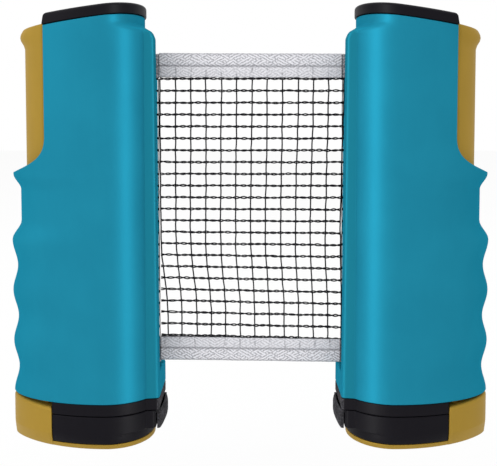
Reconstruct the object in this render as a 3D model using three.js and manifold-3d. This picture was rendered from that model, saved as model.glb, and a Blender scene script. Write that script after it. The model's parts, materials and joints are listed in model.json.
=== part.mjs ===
// A retractable table tennis net: two clamp posts, each with a sprung jaw, a thumb slider and a sprung spool
// that winds up one end of the net. Millimetres, +Z up, X along the net, -Y towards the viewer. The origin is
// on the floor that the posts stand on, midway between them.
import * as THREE from "three";
import * as BufferGeometryUtils from "three/addons/utils/BufferGeometryUtils.js";
import Module from "manifold-3d";

// ---- Driving dimensions -------------------------------------------------------------------------------------
// Each post is drawn once, about its own spool axis, with +x towards the net and -x towards the grip.

const clearance = 0.3;          // gap between pieces that touch or run on each other
const spoolSpacing = 130;       // from one spool axis to the other

// plan of a post: a drum round the spool, a tapered grip and a blunt snout that the net leaves by
const drumHalfDepth = 22.8;
const gripReach = 45.4;         // spool axis to the mean line of the finger grips
const gripFullness = 1.2;       // 1 is an ellipse, more is a more pointed grip
const snoutReach = 23.6;
const snoutHalfWidth = 13.2;
const snoutCorner = 1.6;
const shoulderReach = 21.2;     // rounded reach of the snout side just above the net window
const neckReach = 16.2;         // and under the cap
const shellWall = 2.5;
const gripCavityReach = 40;

// heights
const plateThickness = 2.4;     // yellow foot plate under the lower jaw
const mouthHeight = 15.2;       // top of the lower jaw with the clamp closed
const upperJawThickness = 5.2;
const spoolRoom = 12.6;         // housing's bottom to the net: spool flange, bush and screws
const headroom = 14.4;          // net to the housing's top at the spool axis: recoil spring and its cup
const capSlope = 0.131;         // rise of the top per millimetre towards the net
const capThickness = 5.2;
const capOverhang = 0.4;        // past the neck, on the snout side
const capEndReach = 27.2;       // spool axis to the cap's blunt end over the thumb slot
const capEndLean = 1;
const shoulderRise = 4.2;       // above the net the blunt snout turns round
const shoulderHeight = 3;       // over this height
const neckDrop = 1.2;           // the neck has drawn in this far below the housing's top

// finger grips
const fingerPitch = 23.8;
const fingerDepth = 1.2;
const fingerCount = 3;
const waistReach = 42.2;        // grip above the fingers
const spurReach = 45.7;         // point where the thumb slot starts
const waistHeight = 30.6;       // finger hollows to the spur

// thumb slider and its slot
const slotEdge = 26.8;          // spool axis to the edge of the slot
const slotBend = 17.5;          // height of the slot's curved foot above the spur
const sliderReach = 39.4;
const barSideFlat = 0.8;        // taken off the bar's rounded back where its flat sides start
const barInner = 27.1;          // face of the bar that the table edge meets
const throatReach = 24.8;       // inner face of the jaw block, below the mouth
const lipReach = 41.6;
const lipDrop = 2.1;            // lip's top at the slot edge, below the housing's top
const lipDepth = 9.3;           // height of the flare under it
const lipSlope = 0.13;
const clampTravel = 45;

// lower jaw
const jawBlockHeight = 20.4;
const footInset = 1.9;          // the jaw's sides draw in towards the floor
const footTipInset = 0.5;       // and its grip end a little
const footRound = 7;            // over this height
const footFullness = 1.6;
const jawNoseReach = 19.9;      // lower, drawn-in part of the jaw's nose
const jawShelfReach = 21.8;
const jawStepHeight = 6.6;
const padReach = 25.6;
const padHalfWidth = 11.2;
const padCrown = 1.5;           // the folded end bows out by this much
const padThickness = 1.9;
const padRibCount = 7;
const padRibDepth = 0.8;
const padEndRibCount = 7;

// clamp spring
const springAxis = 20.9;        // from the spool axis, towards the grip
const springRadius = 3;
const springWire = 1.1;
const springTurns = 9;
const springShelfDrop = 13;     // shelf that the spring pushes up, below the spur
const springShelfThickness = 4;
const rodRadius = 1.6;

// spool
const axleRadius = 2;
const coreRadius = 6.9;
const coreBore = 4.6;
const flangeRadius = 17;
const flangeThickness = 1.5;
const rollRadius = 16;
const cupRadius = 16;
const cupWall = 0.9;
const cupHeight = 6.3;
const bushFlange = 6.5;
const bushFlangeThickness = 1.2;
const bushSleeveLength = 7;
const recoilTurns = 3;
const recoilStrip = 0.5;
const recoilWidth = 2.6;

// net
const netHeight = 145.2;
const tapeHeight = 11.6;
const tapeThickness = 2.2;
const tapeSlotDepth = 4.2;
const netThickness = 0.8;
const netColumns = 12;
const netRows = 22;
const strandWidth = 0.55;
const rowCordWidth = 0.75;
const windowHalfWidth = 10.4;
const windowMargin = 1.6;       // clear height below the net
const rearSnoutReach = 19.8;    // the rear shell is cut back this far beside the net
const rearCutDrop = 5.6;        // from below the net
const rearCutCorner = 3.5;

// fasteners
const screwHeadRadius = 2.6;
const screwHeadHeight = 1.8;
const screwShankRadius = 1.05;
const screwSeat = 9.5;          // counterbore floor, from the parting plane
const screwReach = 7.5;         // tip, on the far side of the parting plane
const bossRadius = 3.3;
const jawScrewPlaces = [-12, 9];
const jawScrewLength = 9;

// ---- Derived sizes ------------------------------------------------------------------------------------------

const upperJawBottom = mouthHeight + clearance;
const upperJawTop = upperJawBottom + upperJawThickness;
const housingBottom = upperJawTop + clearance;
const jawCutEdge = -(throatReach - clearance);
const netBottom = housingBottom + spoolRoom;
const netTop = netBottom + netHeight;
const capSeatHeight = netTop + headroom;
const shoulderStart = netTop + shoulderRise;
const shoulderEnd = shoulderStart + shoulderHeight;
const neckEnd = capSeatHeight - neckDrop;
const lipHeight = capSeatHeight - lipDrop;
const fingerTop = housingBottom + fingerCount * fingerPitch;
const spurHeight = fingerTop + waistHeight;
const barBackDepth = drumHalfDepth - shellWall - 2 * clearance;
const sliderHalfWidth = barBackDepth * Math.sin(Math.acos(barInner / sliderReach)) ** gripFullness - barSideFlat;
const springShelfHeight = spurHeight - springShelfDrop;
const rearCutBottom = netBottom - rearCutDrop;
const coreTop = netTop + 2.2;
const cupFloorBottom = coreTop + clearance;
const cupFloorTop = cupFloorBottom + flangeThickness;
const upperBushTop = cupFloorTop + clearance + bushFlangeThickness;
const arborBottom = upperBushTop + clearance;
const arborTop = cupFloorBottom + cupHeight + clearance;
const lowerBushBottom = upperJawTop + clearance;
const coreBottom = lowerBushBottom + bushFlangeThickness + clearance;
const flangeTop = netBottom - clearance;
const socketFloor = upperJawTop - 2.7;
const axleTop = capSeatHeight - 1.2;
const windowBottom = netBottom - windowMargin;
const windowTop = shoulderEnd;
const netHalfLength = spoolSpacing / 2 - snoutReach + 1;

// screws through the housing: clear of the spring, the roll and the spool flange
const housingScrewPlaces = [
  [-springAxis - 1.4, springShelfHeight + 22],
  [-springAxis - 1.4, netTop - 8],
  [14, housingBottom + 4.5],
  [-13.2, housingBottom + 4.5],
];

// ---- Materials ----------------------------------------------------------------------------------------------

const finish = {
  teal: new THREE.MeshStandardMaterial({ color: 0x1f89a3, roughness: 0.38, metalness: 0 }),
  black: new THREE.MeshStandardMaterial({ color: 0x222026, roughness: 0.5, metalness: 0 }),
  yellow: new THREE.MeshStandardMaterial({ color: 0xa8893b, roughness: 0.5, metalness: 0 }),
  rubber: new THREE.MeshStandardMaterial({ color: 0x2e2d31, roughness: 0.85, metalness: 0 }),
  steel: new THREE.MeshStandardMaterial({ color: 0x9a9da1, roughness: 0.3, metalness: 1 }),
  spool: new THREE.MeshStandardMaterial({ color: 0xd9d9d4, roughness: 0.5, metalness: 0 }),
  cord: new THREE.MeshStandardMaterial({ color: 0x1d1d1f, roughness: 0.9, metalness: 0 }),
  tape: new THREE.MeshStandardMaterial({ color: 0xd6d6da, roughness: 0.95, metalness: 0 }),
};

// ---- Solid modelling ----------------------------------------------------------------------------------------

const wasm = await Module();
wasm.setup();

// Merges shared corners, drops collapsed triangles and turns the faces outwards.
function closed(geometry) {
  const bare = geometry.clone();
  bare.deleteAttribute("normal");
  bare.deleteAttribute("uv");
  const merged = BufferGeometryUtils.mergeVertices(bare, 1e-4);
  const position = merged.getAttribute("position");
  const index = merged.getIndex().array;
  const kept = [];
  const a = new THREE.Vector3();
  const b = new THREE.Vector3();
  const c = new THREE.Vector3();
  let volume = 0;
  for (let i = 0; i < index.length; i += 3) {
    const [p, q, r] = [index[i], index[i + 1], index[i + 2]];
    if (p === q || q === r || r === p) continue;
    kept.push([p, q, r]);
    a.fromBufferAttribute(position, p);
    b.fromBufferAttribute(position, q);
    c.fromBufferAttribute(position, r);
    volume += a.dot(b.cross(c));
  }
  merged.setIndex(kept.flatMap(([p, q, r]) => (volume < 0 ? [p, r, q] : [p, q, r])));
  return merged;
}

function solid(geometry) {
  const shape = closed(geometry);
  return new wasm.Manifold(new wasm.Mesh({
    numProp: 3,
    vertProperties: new Float32Array(shape.getAttribute("position").array),
    triVerts: new Uint32Array(shape.getIndex().array),
  }));
}

function geometryOf(body) {
  const mesh = body.getMesh();
  const geometry = new THREE.BufferGeometry();
  geometry.setAttribute("position", new THREE.BufferAttribute(new Float32Array(mesh.vertProperties), 3));
  geometry.setIndex(Array.from(mesh.triVerts));
  return geometry;
}

// Skins a stack of closed loops, lowest first. Each loop is a list of [x, y, z] and all have as many points.
function skin(stack) {
  const isClockwise = THREE.ShapeUtils.area(stack[0].map(([x, y]) => new THREE.Vector2(x, y))) < 0;
  const loops = isClockwise ? stack.map((loop) => loop.slice().reverse()) : stack;
  const count = loops[0].length;
  const index = [];
  for (let level = 0; level + 1 < loops.length; level++) {
    for (let i = 0; i < count; i++) {
      const j = (i + 1) % count;
      const low = level * count;
      const high = low + count;
      index.push(low + i, low + j, high + j, low + i, high + j, high + i);
    }
  }
  for (const level of [0, loops.length - 1]) {
    const flat = loops[level].map(([x, y]) => new THREE.Vector2(x, y));
    for (const [p, q, r] of THREE.ShapeUtils.triangulateShape(flat, [])) {
      const first = level * count;
      index.push(...(level === 0 ? [first + r, first + q, first + p] : [first + p, first + q, first + r]));
    }
  }
  const geometry = new THREE.BufferGeometry();
  geometry.setAttribute("position", new THREE.Float32BufferAttribute(loops.flat(2), 3));
  geometry.setIndex(index);
  return geometry;
}

// Turns a closed profile of [radius, height] about the vertical line through (x, y).
function turned(profile, segments, x = 0, y = 0) {
  const points = [...profile, profile[0]].map(([radius, height]) => new THREE.Vector2(radius, height));
  return new THREE.LatheGeometry(points, segments).rotateX(Math.PI / 2).translate(x, y, 0);
}

function post(radius, low, high, segments, x = 0, y = 0) {
  return turned([[0, low], [radius, low], [radius, high], [0, high]], segments, x, y);
}

// Extrudes a closed outline of [x, z] along Y, between two values of y.
function across(outline, low, high) {
  const shape = new THREE.Shape(outline.map(([x, z]) => new THREE.Vector2(x, z)));
  return new THREE.ExtrudeGeometry(shape, { depth: high - low, bevelEnabled: false })
    .rotateX(Math.PI / 2)
    .translate(0, high, 0);
}

function block(lowX, highX, lowY, highY, lowZ, highZ) {
  return new THREE.BoxGeometry(highX - lowX, highY - lowY, highZ - lowZ)
    .translate((lowX + highX) / 2, (lowY + highY) / 2, (lowZ + highZ) / 2);
}

function smooth(low, high, value) {
  return THREE.MathUtils.smoothstep(value, low, high);
}

// ---- Plan of a post -----------------------------------------------------------------------------------------

const gripSteps = 6;
const drumSteps = 3;
const noseSteps = 4;

// Rear half of a plan, from the grip tip at (-grip, 0) over the drum to the nose at (nose, 0). With round = 0
// the nose is the blunt snout, with round = 1 the whole side is an ellipse.
function halfPlan({ grip, nose, depth, snout, fullness, round }) {
  const points = [];
  for (let i = 0; i <= gripSteps; i++) {
    const turn = (i / gripSteps) * Math.PI / 2;
    points.push([-grip * Math.cos(turn), depth * Math.sin(turn) ** fullness]);
  }
  const snoutTurn = Math.asin(snout / depth);
  const blunt = [
    [nose - snoutCorner, snout],
    [nose - snoutCorner * 0.3, snout - snoutCorner * 0.3],
    [nose, snout - snoutCorner],
    [nose, 0],
  ];
  for (let i = 1; i <= drumSteps + noseSteps; i++) {
    const isDrum = i <= drumSteps;
    const turn = isDrum
      ? THREE.MathUtils.lerp(Math.PI / 2, snoutTurn, i / drumSteps)
      : THREE.MathUtils.lerp(snoutTurn, 0, (i - drumSteps) / noseSteps);
    const bluntPoint = isDrum ? [depth * Math.cos(turn), depth * Math.sin(turn)] : blunt[i - drumSteps - 1];
    const roundPoint = [nose * Math.cos(turn), depth * Math.sin(turn)];
    points.push(bluntPoint.map((value, k) => THREE.MathUtils.lerp(value, roundPoint[k], round)));
  }
  return points;
}

// Closes a half plan along the line y = edge.
function halfLoop(points, edge, z) {
  return points.map(([x, y]) => [x, Math.max(y, edge), z]);
}

function halfLoopBelow(points, edge, z) {
  return points.map(([x, y], i) => [x, i === 0 || i === points.length - 1 ? edge : y, z]);
}

function fullLoop(points, z) {
  const front = points.slice(1, -1).reverse().map(([x, y]) => [x, -y]);
  return [...points, ...front].map(([x, y]) => [x, y, z]);
}

function plan(inset, changes = {}) {
  return halfPlan({
    grip: gripReach + fingerDepth - inset,
    nose: snoutReach - inset,
    depth: drumHalfDepth - inset,
    snout: snoutHalfWidth - inset,
    fullness: gripFullness,
    round: 0,
    ...changes,
  });
}

// Reach of the grip at a height: the finger hollows, the plain waist above them and the spur.
function gripAt(z) {
  const wave = Math.cos((2 * Math.PI * (Math.min(z, fingerTop) - housingBottom)) / fingerPitch);
  const fingers = gripReach + fingerDepth * wave;
  const waist = THREE.MathUtils.lerp(fingers, waistReach, smooth(fingerTop, fingerTop + 9, z));
  return THREE.MathUtils.lerp(waist, spurReach, smooth(spurHeight - 7, spurHeight, z));
}

// Nose of the housing at a height: blunt beside the net, then a round shoulder and the neck.
function noseAt(z) {
  const shoulder = THREE.MathUtils.lerp(snoutReach, shoulderReach, smooth(shoulderStart, shoulderEnd, z));
  return THREE.MathUtils.lerp(shoulder, neckReach, smooth(shoulderEnd - 1, neckEnd, z));
}

function roundAt(z) {
  return smooth(shoulderStart, shoulderEnd, z);
}

// Plan of the lower jaw at a height: it draws in towards the floor, more so at the grip.
function jawPlan(z, inset, changes = {}) {
  const share = 1 - Math.min(z / footRound, 1);
  const fullness = THREE.MathUtils.lerp(gripFullness, footFullness, share);
  const grip = gripReach + fingerDepth - inset - footTipInset * share ** 2;
  return plan(inset + footInset * share ** 2, { grip, fullness, ...changes });
}

function capSeatAt(x) {
  return capSeatHeight + capSlope * x;
}

// ---- Housing ------------------------------------------------------------------------------------------------

const aboveAll = capSeatHeight + 20;

// Everything above the sloping top of the housing, moved up by rise.
function spaceAboveTop(rise) {
  const wide = 80;
  return across([
    [-wide, capSeatAt(-wide) + rise],
    [wide, capSeatAt(wide) + rise],
    [wide, aboveAll + wide],
    [-wide, aboveAll + wide],
  ], -wide, wide);
}

// The thumb slot, seen from the front: straight down its edge, then a sweep out to the spur.
function thumbSlot() {
  const edge = new THREE.Path();
  edge.moveTo(-slotEdge, aboveAll);
  edge.lineTo(-slotEdge, spurHeight + slotBend);
  edge.bezierCurveTo(
    -slotEdge, spurHeight + slotBend * 0.45,
    -slotEdge - 6.2, spurHeight + slotBend * 0.31,
    -spurReach - 0.6, spurHeight + 0.5,
  );
  edge.lineTo(-spurReach - 20, spurHeight + 0.5);
  edge.lineTo(-spurReach - 20, aboveAll);
  const outline = edge.getPoints(7).map((point) => [point.x, point.y]);
  return across(outline, -drumHalfDepth - 5, drumHalfDepth + 5);
}

// Rear half of the housing, in y > 0, without screw bosses.
function housingSolids() {
  const fingerLevels = Array.from({ length: fingerCount * 4 + 1 }, (_, i) => (
    housingBottom + (i * fingerPitch) / 4
  ));
  const neckLevels = [0, 0.36, 0.68, 1].map((share) => THREE.MathUtils.lerp(shoulderEnd, neckEnd, share));
  const levels = [
    ...fingerLevels, fingerTop + 4.5, fingerTop + 9, spurHeight - 7, spurHeight - 3, spurHeight,
    shoulderStart, ...neckLevels, aboveAll,
  ];
  const outer = solid(skin(levels.map((z) => (
    halfLoop(plan(0, { grip: gripAt(z), nose: noseAt(z), round: roundAt(z) }), clearance / 2, z)
  ))));
  const cavityLevels = [housingBottom - 5, shoulderStart, ...neckLevels, aboveAll + 5];
  const cavity = solid(skin(cavityLevels.map((z) => {
    const changes = { grip: gripCavityReach, nose: noseAt(z) - shellWall, round: roundAt(z) };
    return halfLoopBelow(plan(shellWall, changes), -1, z);
  })));
  return { outer, cavity };
}

// Half depth of a plan with the given inset, at x.
function depthAt(x, z, inset) {
  const depth = drumHalfDepth - inset;
  if (x > 0) return Math.max(Math.sqrt(Math.max(depth ** 2 - x ** 2, 0)), snoutHalfWidth - inset);
  const reach = inset > 0 ? gripCavityReach : gripAt(z);
  return depth * Math.sin(Math.acos(-x / reach)) ** gripFullness;
}

// A boss ends inside the wall: past the cavity's face, and short of the outer face all over its width.
function bossEnd(x, z) {
  const edges = [x - bossRadius, x + bossRadius];
  const outer = Math.min(...edges.map((edge) => depthAt(edge, z, 0)));
  const inner = Math.max(...edges.map((edge) => depthAt(edge, z, shellWall)));
  return Math.min((outer + inner) / 2, outer - shellWall / 5);
}

function housingHalf(isRear) {
  const { outer, cavity } = housingSolids();
  const alongY = (geometry) => geometry.rotateX(-Math.PI / 2);
  let body = outer.subtract(cavity);
  for (const [x, z] of housingScrewPlaces) {
    body = body.add(solid(alongY(post(bossRadius, clearance / 2, bossEnd(x, z), 8)).translate(x, 0, z)));
  }
  for (const [x, z] of housingScrewPlaces) {
    const bore = screwShankRadius + clearance;
    const holes = isRear
      ? [[bore, -1, drumHalfDepth], [screwHeadRadius + clearance, screwSeat, drumHalfDepth + 5]]
      : [[bore, -1, screwReach + clearance]];
    for (const [radius, low, high] of holes) {
      body = body.subtract(solid(alongY(post(radius, low, high, 8)).translate(x, 0, z)));
    }
  }
  const window = block(
    snoutHalfWidth + 5.4, snoutReach + 5, -windowHalfWidth, windowHalfWidth, windowBottom, windowTop,
  );
  body = body.subtract(solid(window)).subtract(solid(thumbSlot())).subtract(solid(spaceAboveTop(0)));
  if (isRear) {
    const sideCut = across([
      [rearSnoutReach, rearCutBottom + rearCutCorner],
      [rearSnoutReach + rearCutCorner * 0.3, rearCutBottom + rearCutCorner * 0.3],
      [rearSnoutReach + rearCutCorner, rearCutBottom],
      [snoutReach + 5, rearCutBottom],
      [snoutReach + 5, neckEnd],
      [rearSnoutReach, neckEnd],
    ], 0, drumHalfDepth);
    body = body.subtract(solid(sideCut));
  }
  const geometry = geometryOf(body);
  return isRear ? geometry : geometry.scale(1, -1, 1);
}

function topCap() {
  const edge = 1;
  const slab = solid(skin([[0, clearance], [0, capThickness - edge], [edge, capThickness]].map(([inset, rise]) => (
    fullLoop(plan(inset, { nose: neckReach + capOverhang - inset, round: 1 }), 0)
      .map(([x, y]) => [x, y, capSeatAt(x) + rise])
  ))));
  const plugInset = shellWall + clearance;
  const plugChanges = { grip: gripCavityReach - clearance, nose: neckReach - plugInset, round: 1 };
  const plug = solid(skin([-3, clearance + 0.5].map((rise) => (
    fullLoop(plan(plugInset, plugChanges), 0).map(([x, y]) => [x, y, capSeatAt(x) + rise])
  ))));
  const boss = solid(post(bushFlange - 0.5, arborTop + clearance, capSeatHeight + 1, 12));
  const socket = solid(post(axleRadius + clearance, arborTop - 1, axleTop + clearance, 12));
  const outerEnd = capSeatAt(-capEndReach);
  const endCut = across([
    [-capEndReach, outerEnd - 20],
    [-capEndReach, outerEnd + clearance],
    [-capEndReach + capEndLean, outerEnd + capThickness],
    [-capEndReach + capEndLean, aboveAll],
    [-gripReach - 10, aboveAll],
    [-gripReach - 10, outerEnd - 20],
  ], -drumHalfDepth - 5, drumHalfDepth + 5);
  const plugCut = block(-gripReach, -barInner + 2 * clearance, -drumHalfDepth, drumHalfDepth, 0, aboveAll);
  return geometryOf(
    plug.subtract(solid(plugCut)).add(slab).add(boss).subtract(socket).subtract(solid(endCut)),
  );
}

// ---- Jaws ---------------------------------------------------------------------------------------------------

// Everything on the grip side of x = edge.
function gripSide(edge) {
  return solid(block(-gripReach - 20, edge, -drumHalfDepth - 5, drumHalfDepth + 5, -10, housingBottom + 10));
}

const upperPadInset = 2.6;
const upperPadThickness = 1.1;

function upperJaw() {
  const body = solid(skin([
    fullLoop(plan(0.6), upperJawBottom),
    fullLoop(plan(0.2), upperJawBottom + 0.6),
    fullLoop(plan(0.2), upperJawTop),
  ]));
  const padBed = solid(skin([upperJawBottom - 1, upperJawBottom + upperPadThickness + clearance].map((z) => (
    fullLoop(plan(upperPadInset - clearance), z)
  )))).subtract(gripSide(jawCutEdge + upperPadInset - clearance));
  const axleSocket = solid(post(axleRadius + clearance, socketFloor, upperJawTop + 1, 12));
  const rodSocket = solid(post(rodRadius + clearance, socketFloor, upperJawTop + 1, 12, -springAxis));
  return geometryOf(
    body.subtract(gripSide(jawCutEdge)).subtract(padBed).subtract(axleSocket).subtract(rodSocket),
  );
}

function upperJawPad() {
  const sheet = solid(skin([upperJawBottom, upperJawBottom + upperPadThickness].map((z) => (
    fullLoop(plan(upperPadInset), z)
  ))));
  return geometryOf(sheet.subtract(gripSide(jawCutEdge + upperPadInset)));
}

function jawScrewHoles(radius, low, high) {
  return jawScrewPlaces.map((x) => solid(post(radius, low, high, 10, x)));
}

const jawScrewHeadTop = 1.2;
const lowerNose = (inset) => ({ nose: jawNoseReach - inset, round: 1 });

function jawSlider() {
  // the bar's rounded back runs along the cavity of the grip, up to its own half width
  const backEnd = Math.asin((sliderHalfWidth / barBackDepth) ** (1 / gripFullness));
  const barSteps = 5;
  const barHalf = [];
  for (let i = 0; i <= barSteps; i++) {
    const turn = (i / barSteps) * backEnd;
    barHalf.push([-sliderReach * Math.cos(turn), barBackDepth * Math.sin(turn) ** gripFullness]);
  }
  barHalf.push([-barInner, sliderHalfWidth]);
  const barLoop = (reach, z) => {
    const stretch = (reach - barInner) / (sliderReach - barInner);
    const half = barHalf.map(([x, y]) => [-barInner + (x + barInner) * stretch, y]);
    const front = half.slice(1).reverse().map(([x, y]) => [x, -y]);
    return [...half, ...front].map(([x, y]) => [x, y, z]);
  };
  // the lip flares out under its sloping top: [share of the height, share of the reach]
  const flare = [[0, 0], [0.2, 0.23], [0.44, 0.82], [0.6, 1], [0.76, 0.9], [1, 0.3]];
  const bar = solid(skin([
    barLoop(sliderReach, 1),
    ...flare.map(([rise, share]) => (
      barLoop(THREE.MathUtils.lerp(sliderReach, lipReach, share), lipHeight + (rise - 1) * lipDepth)
    )),
  ]));
  const lipTop = across([
    [-slotEdge + 1, lipHeight],
    [-slotEdge, lipHeight],
    [-gripReach, lipHeight - lipSlope * (gripReach - slotEdge)],
    [-gripReach, aboveAll],
    [-slotEdge + 1, aboveAll],
  ], -drumHalfDepth, drumHalfDepth);
  const underCap = block(
    -capEndReach - clearance, 0, -drumHalfDepth, drumHalfDepth, capSeatAt(-capEndReach) - clearance, aboveAll,
  );
  const blockTop = jawBlockHeight;
  const jawBlock = solid(skin([
    [0, 0.4], [0.5, 0], [1.5, 0], [3, 0], [5, 0], [footRound, 0], [blockTop - 2, 0], [blockTop - 0.6, 0.7],
    [blockTop, 2],
  ].map(([z, inset]) => fullLoop(jawPlan(z, inset), z)))).intersect(gripSide(-throatReach));
  const blockSlope = across([
    [-gripReach, blockTop], [-throatReach, blockTop - 2], [-throatReach + 1, blockTop - 2],
    [-throatReach + 1, blockTop + 5], [-gripReach, blockTop + 5],
  ], -drumHalfDepth, drumHalfDepth);
  const plate = solid(skin([[0, 0.6], [0.6, 0.2], [plateThickness, 0.2]].map(([z, inset]) => (
    fullLoop(jawPlan(z, inset, lowerNose(inset)), z)
  ))));
  const shelfTop = springShelfHeight + springShelfThickness;
  const shelfRadius = springRadius + springWire / 2;
  const shelf = solid(post(shelfRadius, springShelfHeight, shelfTop, 16, -springAxis))
    .add(solid(block(-barInner - 1, -springAxis, -shelfRadius, shelfRadius, springShelfHeight, shelfTop)))
    .add(solid(post(springRadius - springWire, springShelfHeight - 4, springShelfHeight + 1, 10, -springAxis)));
  let body = jawBlock.subtract(solid(blockSlope)).add(plate).add(bar).add(shelf);
  body = body.subtract(solid(lipTop)).subtract(solid(underCap));
  const headHoles = jawScrewHoles(screwHeadRadius + clearance, -1, jawScrewHeadTop + clearance);
  const shankHoles = jawScrewHoles(screwShankRadius + clearance, -1, plateThickness + 1);
  for (const hole of [...headHoles, ...shankHoles]) {
    body = body.subtract(hole);
  }
  return geometryOf(body);
}

const padBedFloor = mouthHeight - padThickness - clearance;

function lowerJawCover() {
  const shelfNose = { nose: jawShelfReach };
  const foot = plateThickness + clearance;
  let body = solid(skin([
    fullLoop(jawPlan(foot, 0.4, lowerNose(0.4)), foot),
    fullLoop(jawPlan(foot + 2, 0.4, lowerNose(0.2)), foot + 2),
    fullLoop(jawPlan(jawStepHeight, 0.4, lowerNose(0)), jawStepHeight),
    fullLoop(jawPlan(jawStepHeight + 0.8, 0.4, shelfNose), jawStepHeight + 0.8),
    fullLoop(jawPlan(mouthHeight - 0.5, 0.3, shelfNose), mouthHeight - 0.5),
    fullLoop(jawPlan(mouthHeight, 0.8, shelfNose), mouthHeight),
  ]));
  const padBed = block(
    jawCutEdge + 2.5, snoutReach, -padHalfWidth - clearance, padHalfWidth + clearance,
    padBedFloor, mouthHeight + 5,
  );
  body = body.subtract(gripSide(jawCutEdge)).subtract(solid(padBed));
  for (const hole of jawScrewHoles(screwShankRadius + clearance, 0, jawScrewLength + jawScrewHeadTop + clearance)) {
    body = body.subtract(hole);
  }
  return geometryOf(body);
}

// Rubber sheet with ribs across its top, folded down over the jaw's nose, where its ribs stand upright.
function jawPad() {
  const bottom = mouthHeight - padThickness;
  const start = jawCutEdge + 2.5 + clearance;
  const foldBack = jawShelfReach + clearance;
  const ribPitch = (foldBack - start - 4) / padRibCount;
  const top = [[start, bottom], [padReach - 1.6, bottom], [padReach - 1.6, mouthHeight]];
  for (let i = padRibCount; i > 0; i--) {
    const left = start + 1 + (i - 1) * ribPitch;
    top.push([left + ribPitch, mouthHeight], [left + ribPitch * 0.75, mouthHeight - padRibDepth]);
    top.push([left + ribPitch * 0.45, mouthHeight - padRibDepth], [left + ribPitch * 0.2, mouthHeight]);
  }
  top.push([start, mouthHeight]);
  const sheet = solid(across(top, -padHalfWidth, padHalfWidth));
  const crown = (y) => padReach - padCrown * (y / padHalfWidth) ** 2;
  const fold = [[foldBack, -padHalfWidth]];
  const pitch = (2 * padHalfWidth) / padEndRibCount;
  for (let i = 0; i < padEndRibCount; i++) {
    const y = -padHalfWidth + i * pitch;
    fold.push([crown(y + pitch * 0.15) - 0.5, y + pitch * 0.02], [crown(y + pitch * 0.3), y + pitch * 0.3]);
    fold.push([crown(y + pitch * 0.7), y + pitch * 0.7]);
  }
  fold.push([crown(padHalfWidth) - 0.5, padHalfWidth], [foldBack, padHalfWidth]);
  const foldLoop = (share, z) => fold.map(([x, y]) => [foldBack + (x - foldBack) * share, y, z]);
  const end = solid(skin([
    foldLoop(0.5, jawStepHeight + 0.2), foldLoop(1, jawStepHeight + 3),
    foldLoop(1, mouthHeight - 1), foldLoop(0.7, mouthHeight),
  ]));
  return geometryOf(sheet.add(end));
}

function jawScrew(x) {
  const head = screwHeadRadius;
  const shank = screwShankRadius;
  const tip = jawScrewHeadTop + jawScrewLength;
  return turned([
    [0, 0.2], [head, 0.2], [head, jawScrewHeadTop], [shank, jawScrewHeadTop], [shank, tip], [0, tip],
  ], 8, x);
}

function housingScrew([x, z]) {
  const seat = screwSeat + clearance;
  return turned([
    [0, -screwReach], [screwShankRadius, -screwReach], [screwShankRadius, seat], [screwHeadRadius, seat],
    [screwHeadRadius, seat + screwHeadHeight], [0, seat + screwHeadHeight],
  ], 8).rotateX(-Math.PI / 2).translate(x, 0, z);
}

// ---- Springs ------------------------------------------------------------------------------------------------

// Sweeps a section of [across, along] offsets round a list of { centre, side, up } stations.
function sweep(stations, section) {
  const positions = [];
  for (const { centre, side, up } of stations) {
    for (const [a, b] of section) {
      positions.push(...centre.clone().addScaledVector(side, a).addScaledVector(up, b).toArray());
    }
  }
  const count = section.length;
  const index = [];
  for (let s = 0; s + 1 < stations.length; s++) {
    for (let i = 0; i < count; i++) {
      const j = (i + 1) % count;
      const near = s * count;
      const far = near + count;
      index.push(near + i, near + j, far + j, near + i, far + j, far + i);
    }
  }
  const last = (stations.length - 1) * count;
  for (let i = 1; i + 1 < count; i++) {
    index.push(0, i + 1, i, last, last + i, last + i + 1);
  }
  const geometry = new THREE.BufferGeometry();
  geometry.setAttribute("position", new THREE.Float32BufferAttribute(positions, 3));
  geometry.setIndex(index);
  return closed(geometry);
}

function leastSelfGap(stations, thickness, stationsPerTurn) {
  let least = Infinity;
  for (let i = 0; i < stations.length; i++) {
    for (let j = i + Math.round(stationsPerTurn * 0.6); j < stations.length; j++) {
      least = Math.min(least, stations[i].centre.distanceTo(stations[j].centre) - thickness);
    }
  }
  return least;
}

const coilStepsPerTurn = 8;
const recoilStepsPerTurn = 14;

const clampSpringStations = (() => {
  const steps = springTurns * coilStepsPerTurn;
  const low = upperJawTop + clearance + springWire / 2;
  const high = springShelfHeight - clearance - springWire / 2;
  const up = new THREE.Vector3(0, 0, 1);
  return Array.from({ length: steps + 1 }, (_, i) => {
    const turn = (2 * Math.PI * i) / coilStepsPerTurn;
    const side = new THREE.Vector3(Math.cos(turn), Math.sin(turn), 0);
    const z = THREE.MathUtils.lerp(low, high, i / steps);
    const centre = side.clone().multiplyScalar(springRadius).add(new THREE.Vector3(-springAxis, 0, z));
    return { centre, side, up };
  });
})();
const coilGap = leastSelfGap(clampSpringStations, springWire, coilStepsPerTurn);
console.log("clamp spring: least gap between turns", coilGap.toFixed(2));

function clampSpring() {
  const section = Array.from({ length: 5 }, (_, i) => {
    const turn = (2 * Math.PI * i) / 5;
    return [(springWire / 2) * Math.cos(turn), (springWire / 2) * Math.sin(turn)];
  });
  return sweep(clampSpringStations, section);
}

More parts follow.
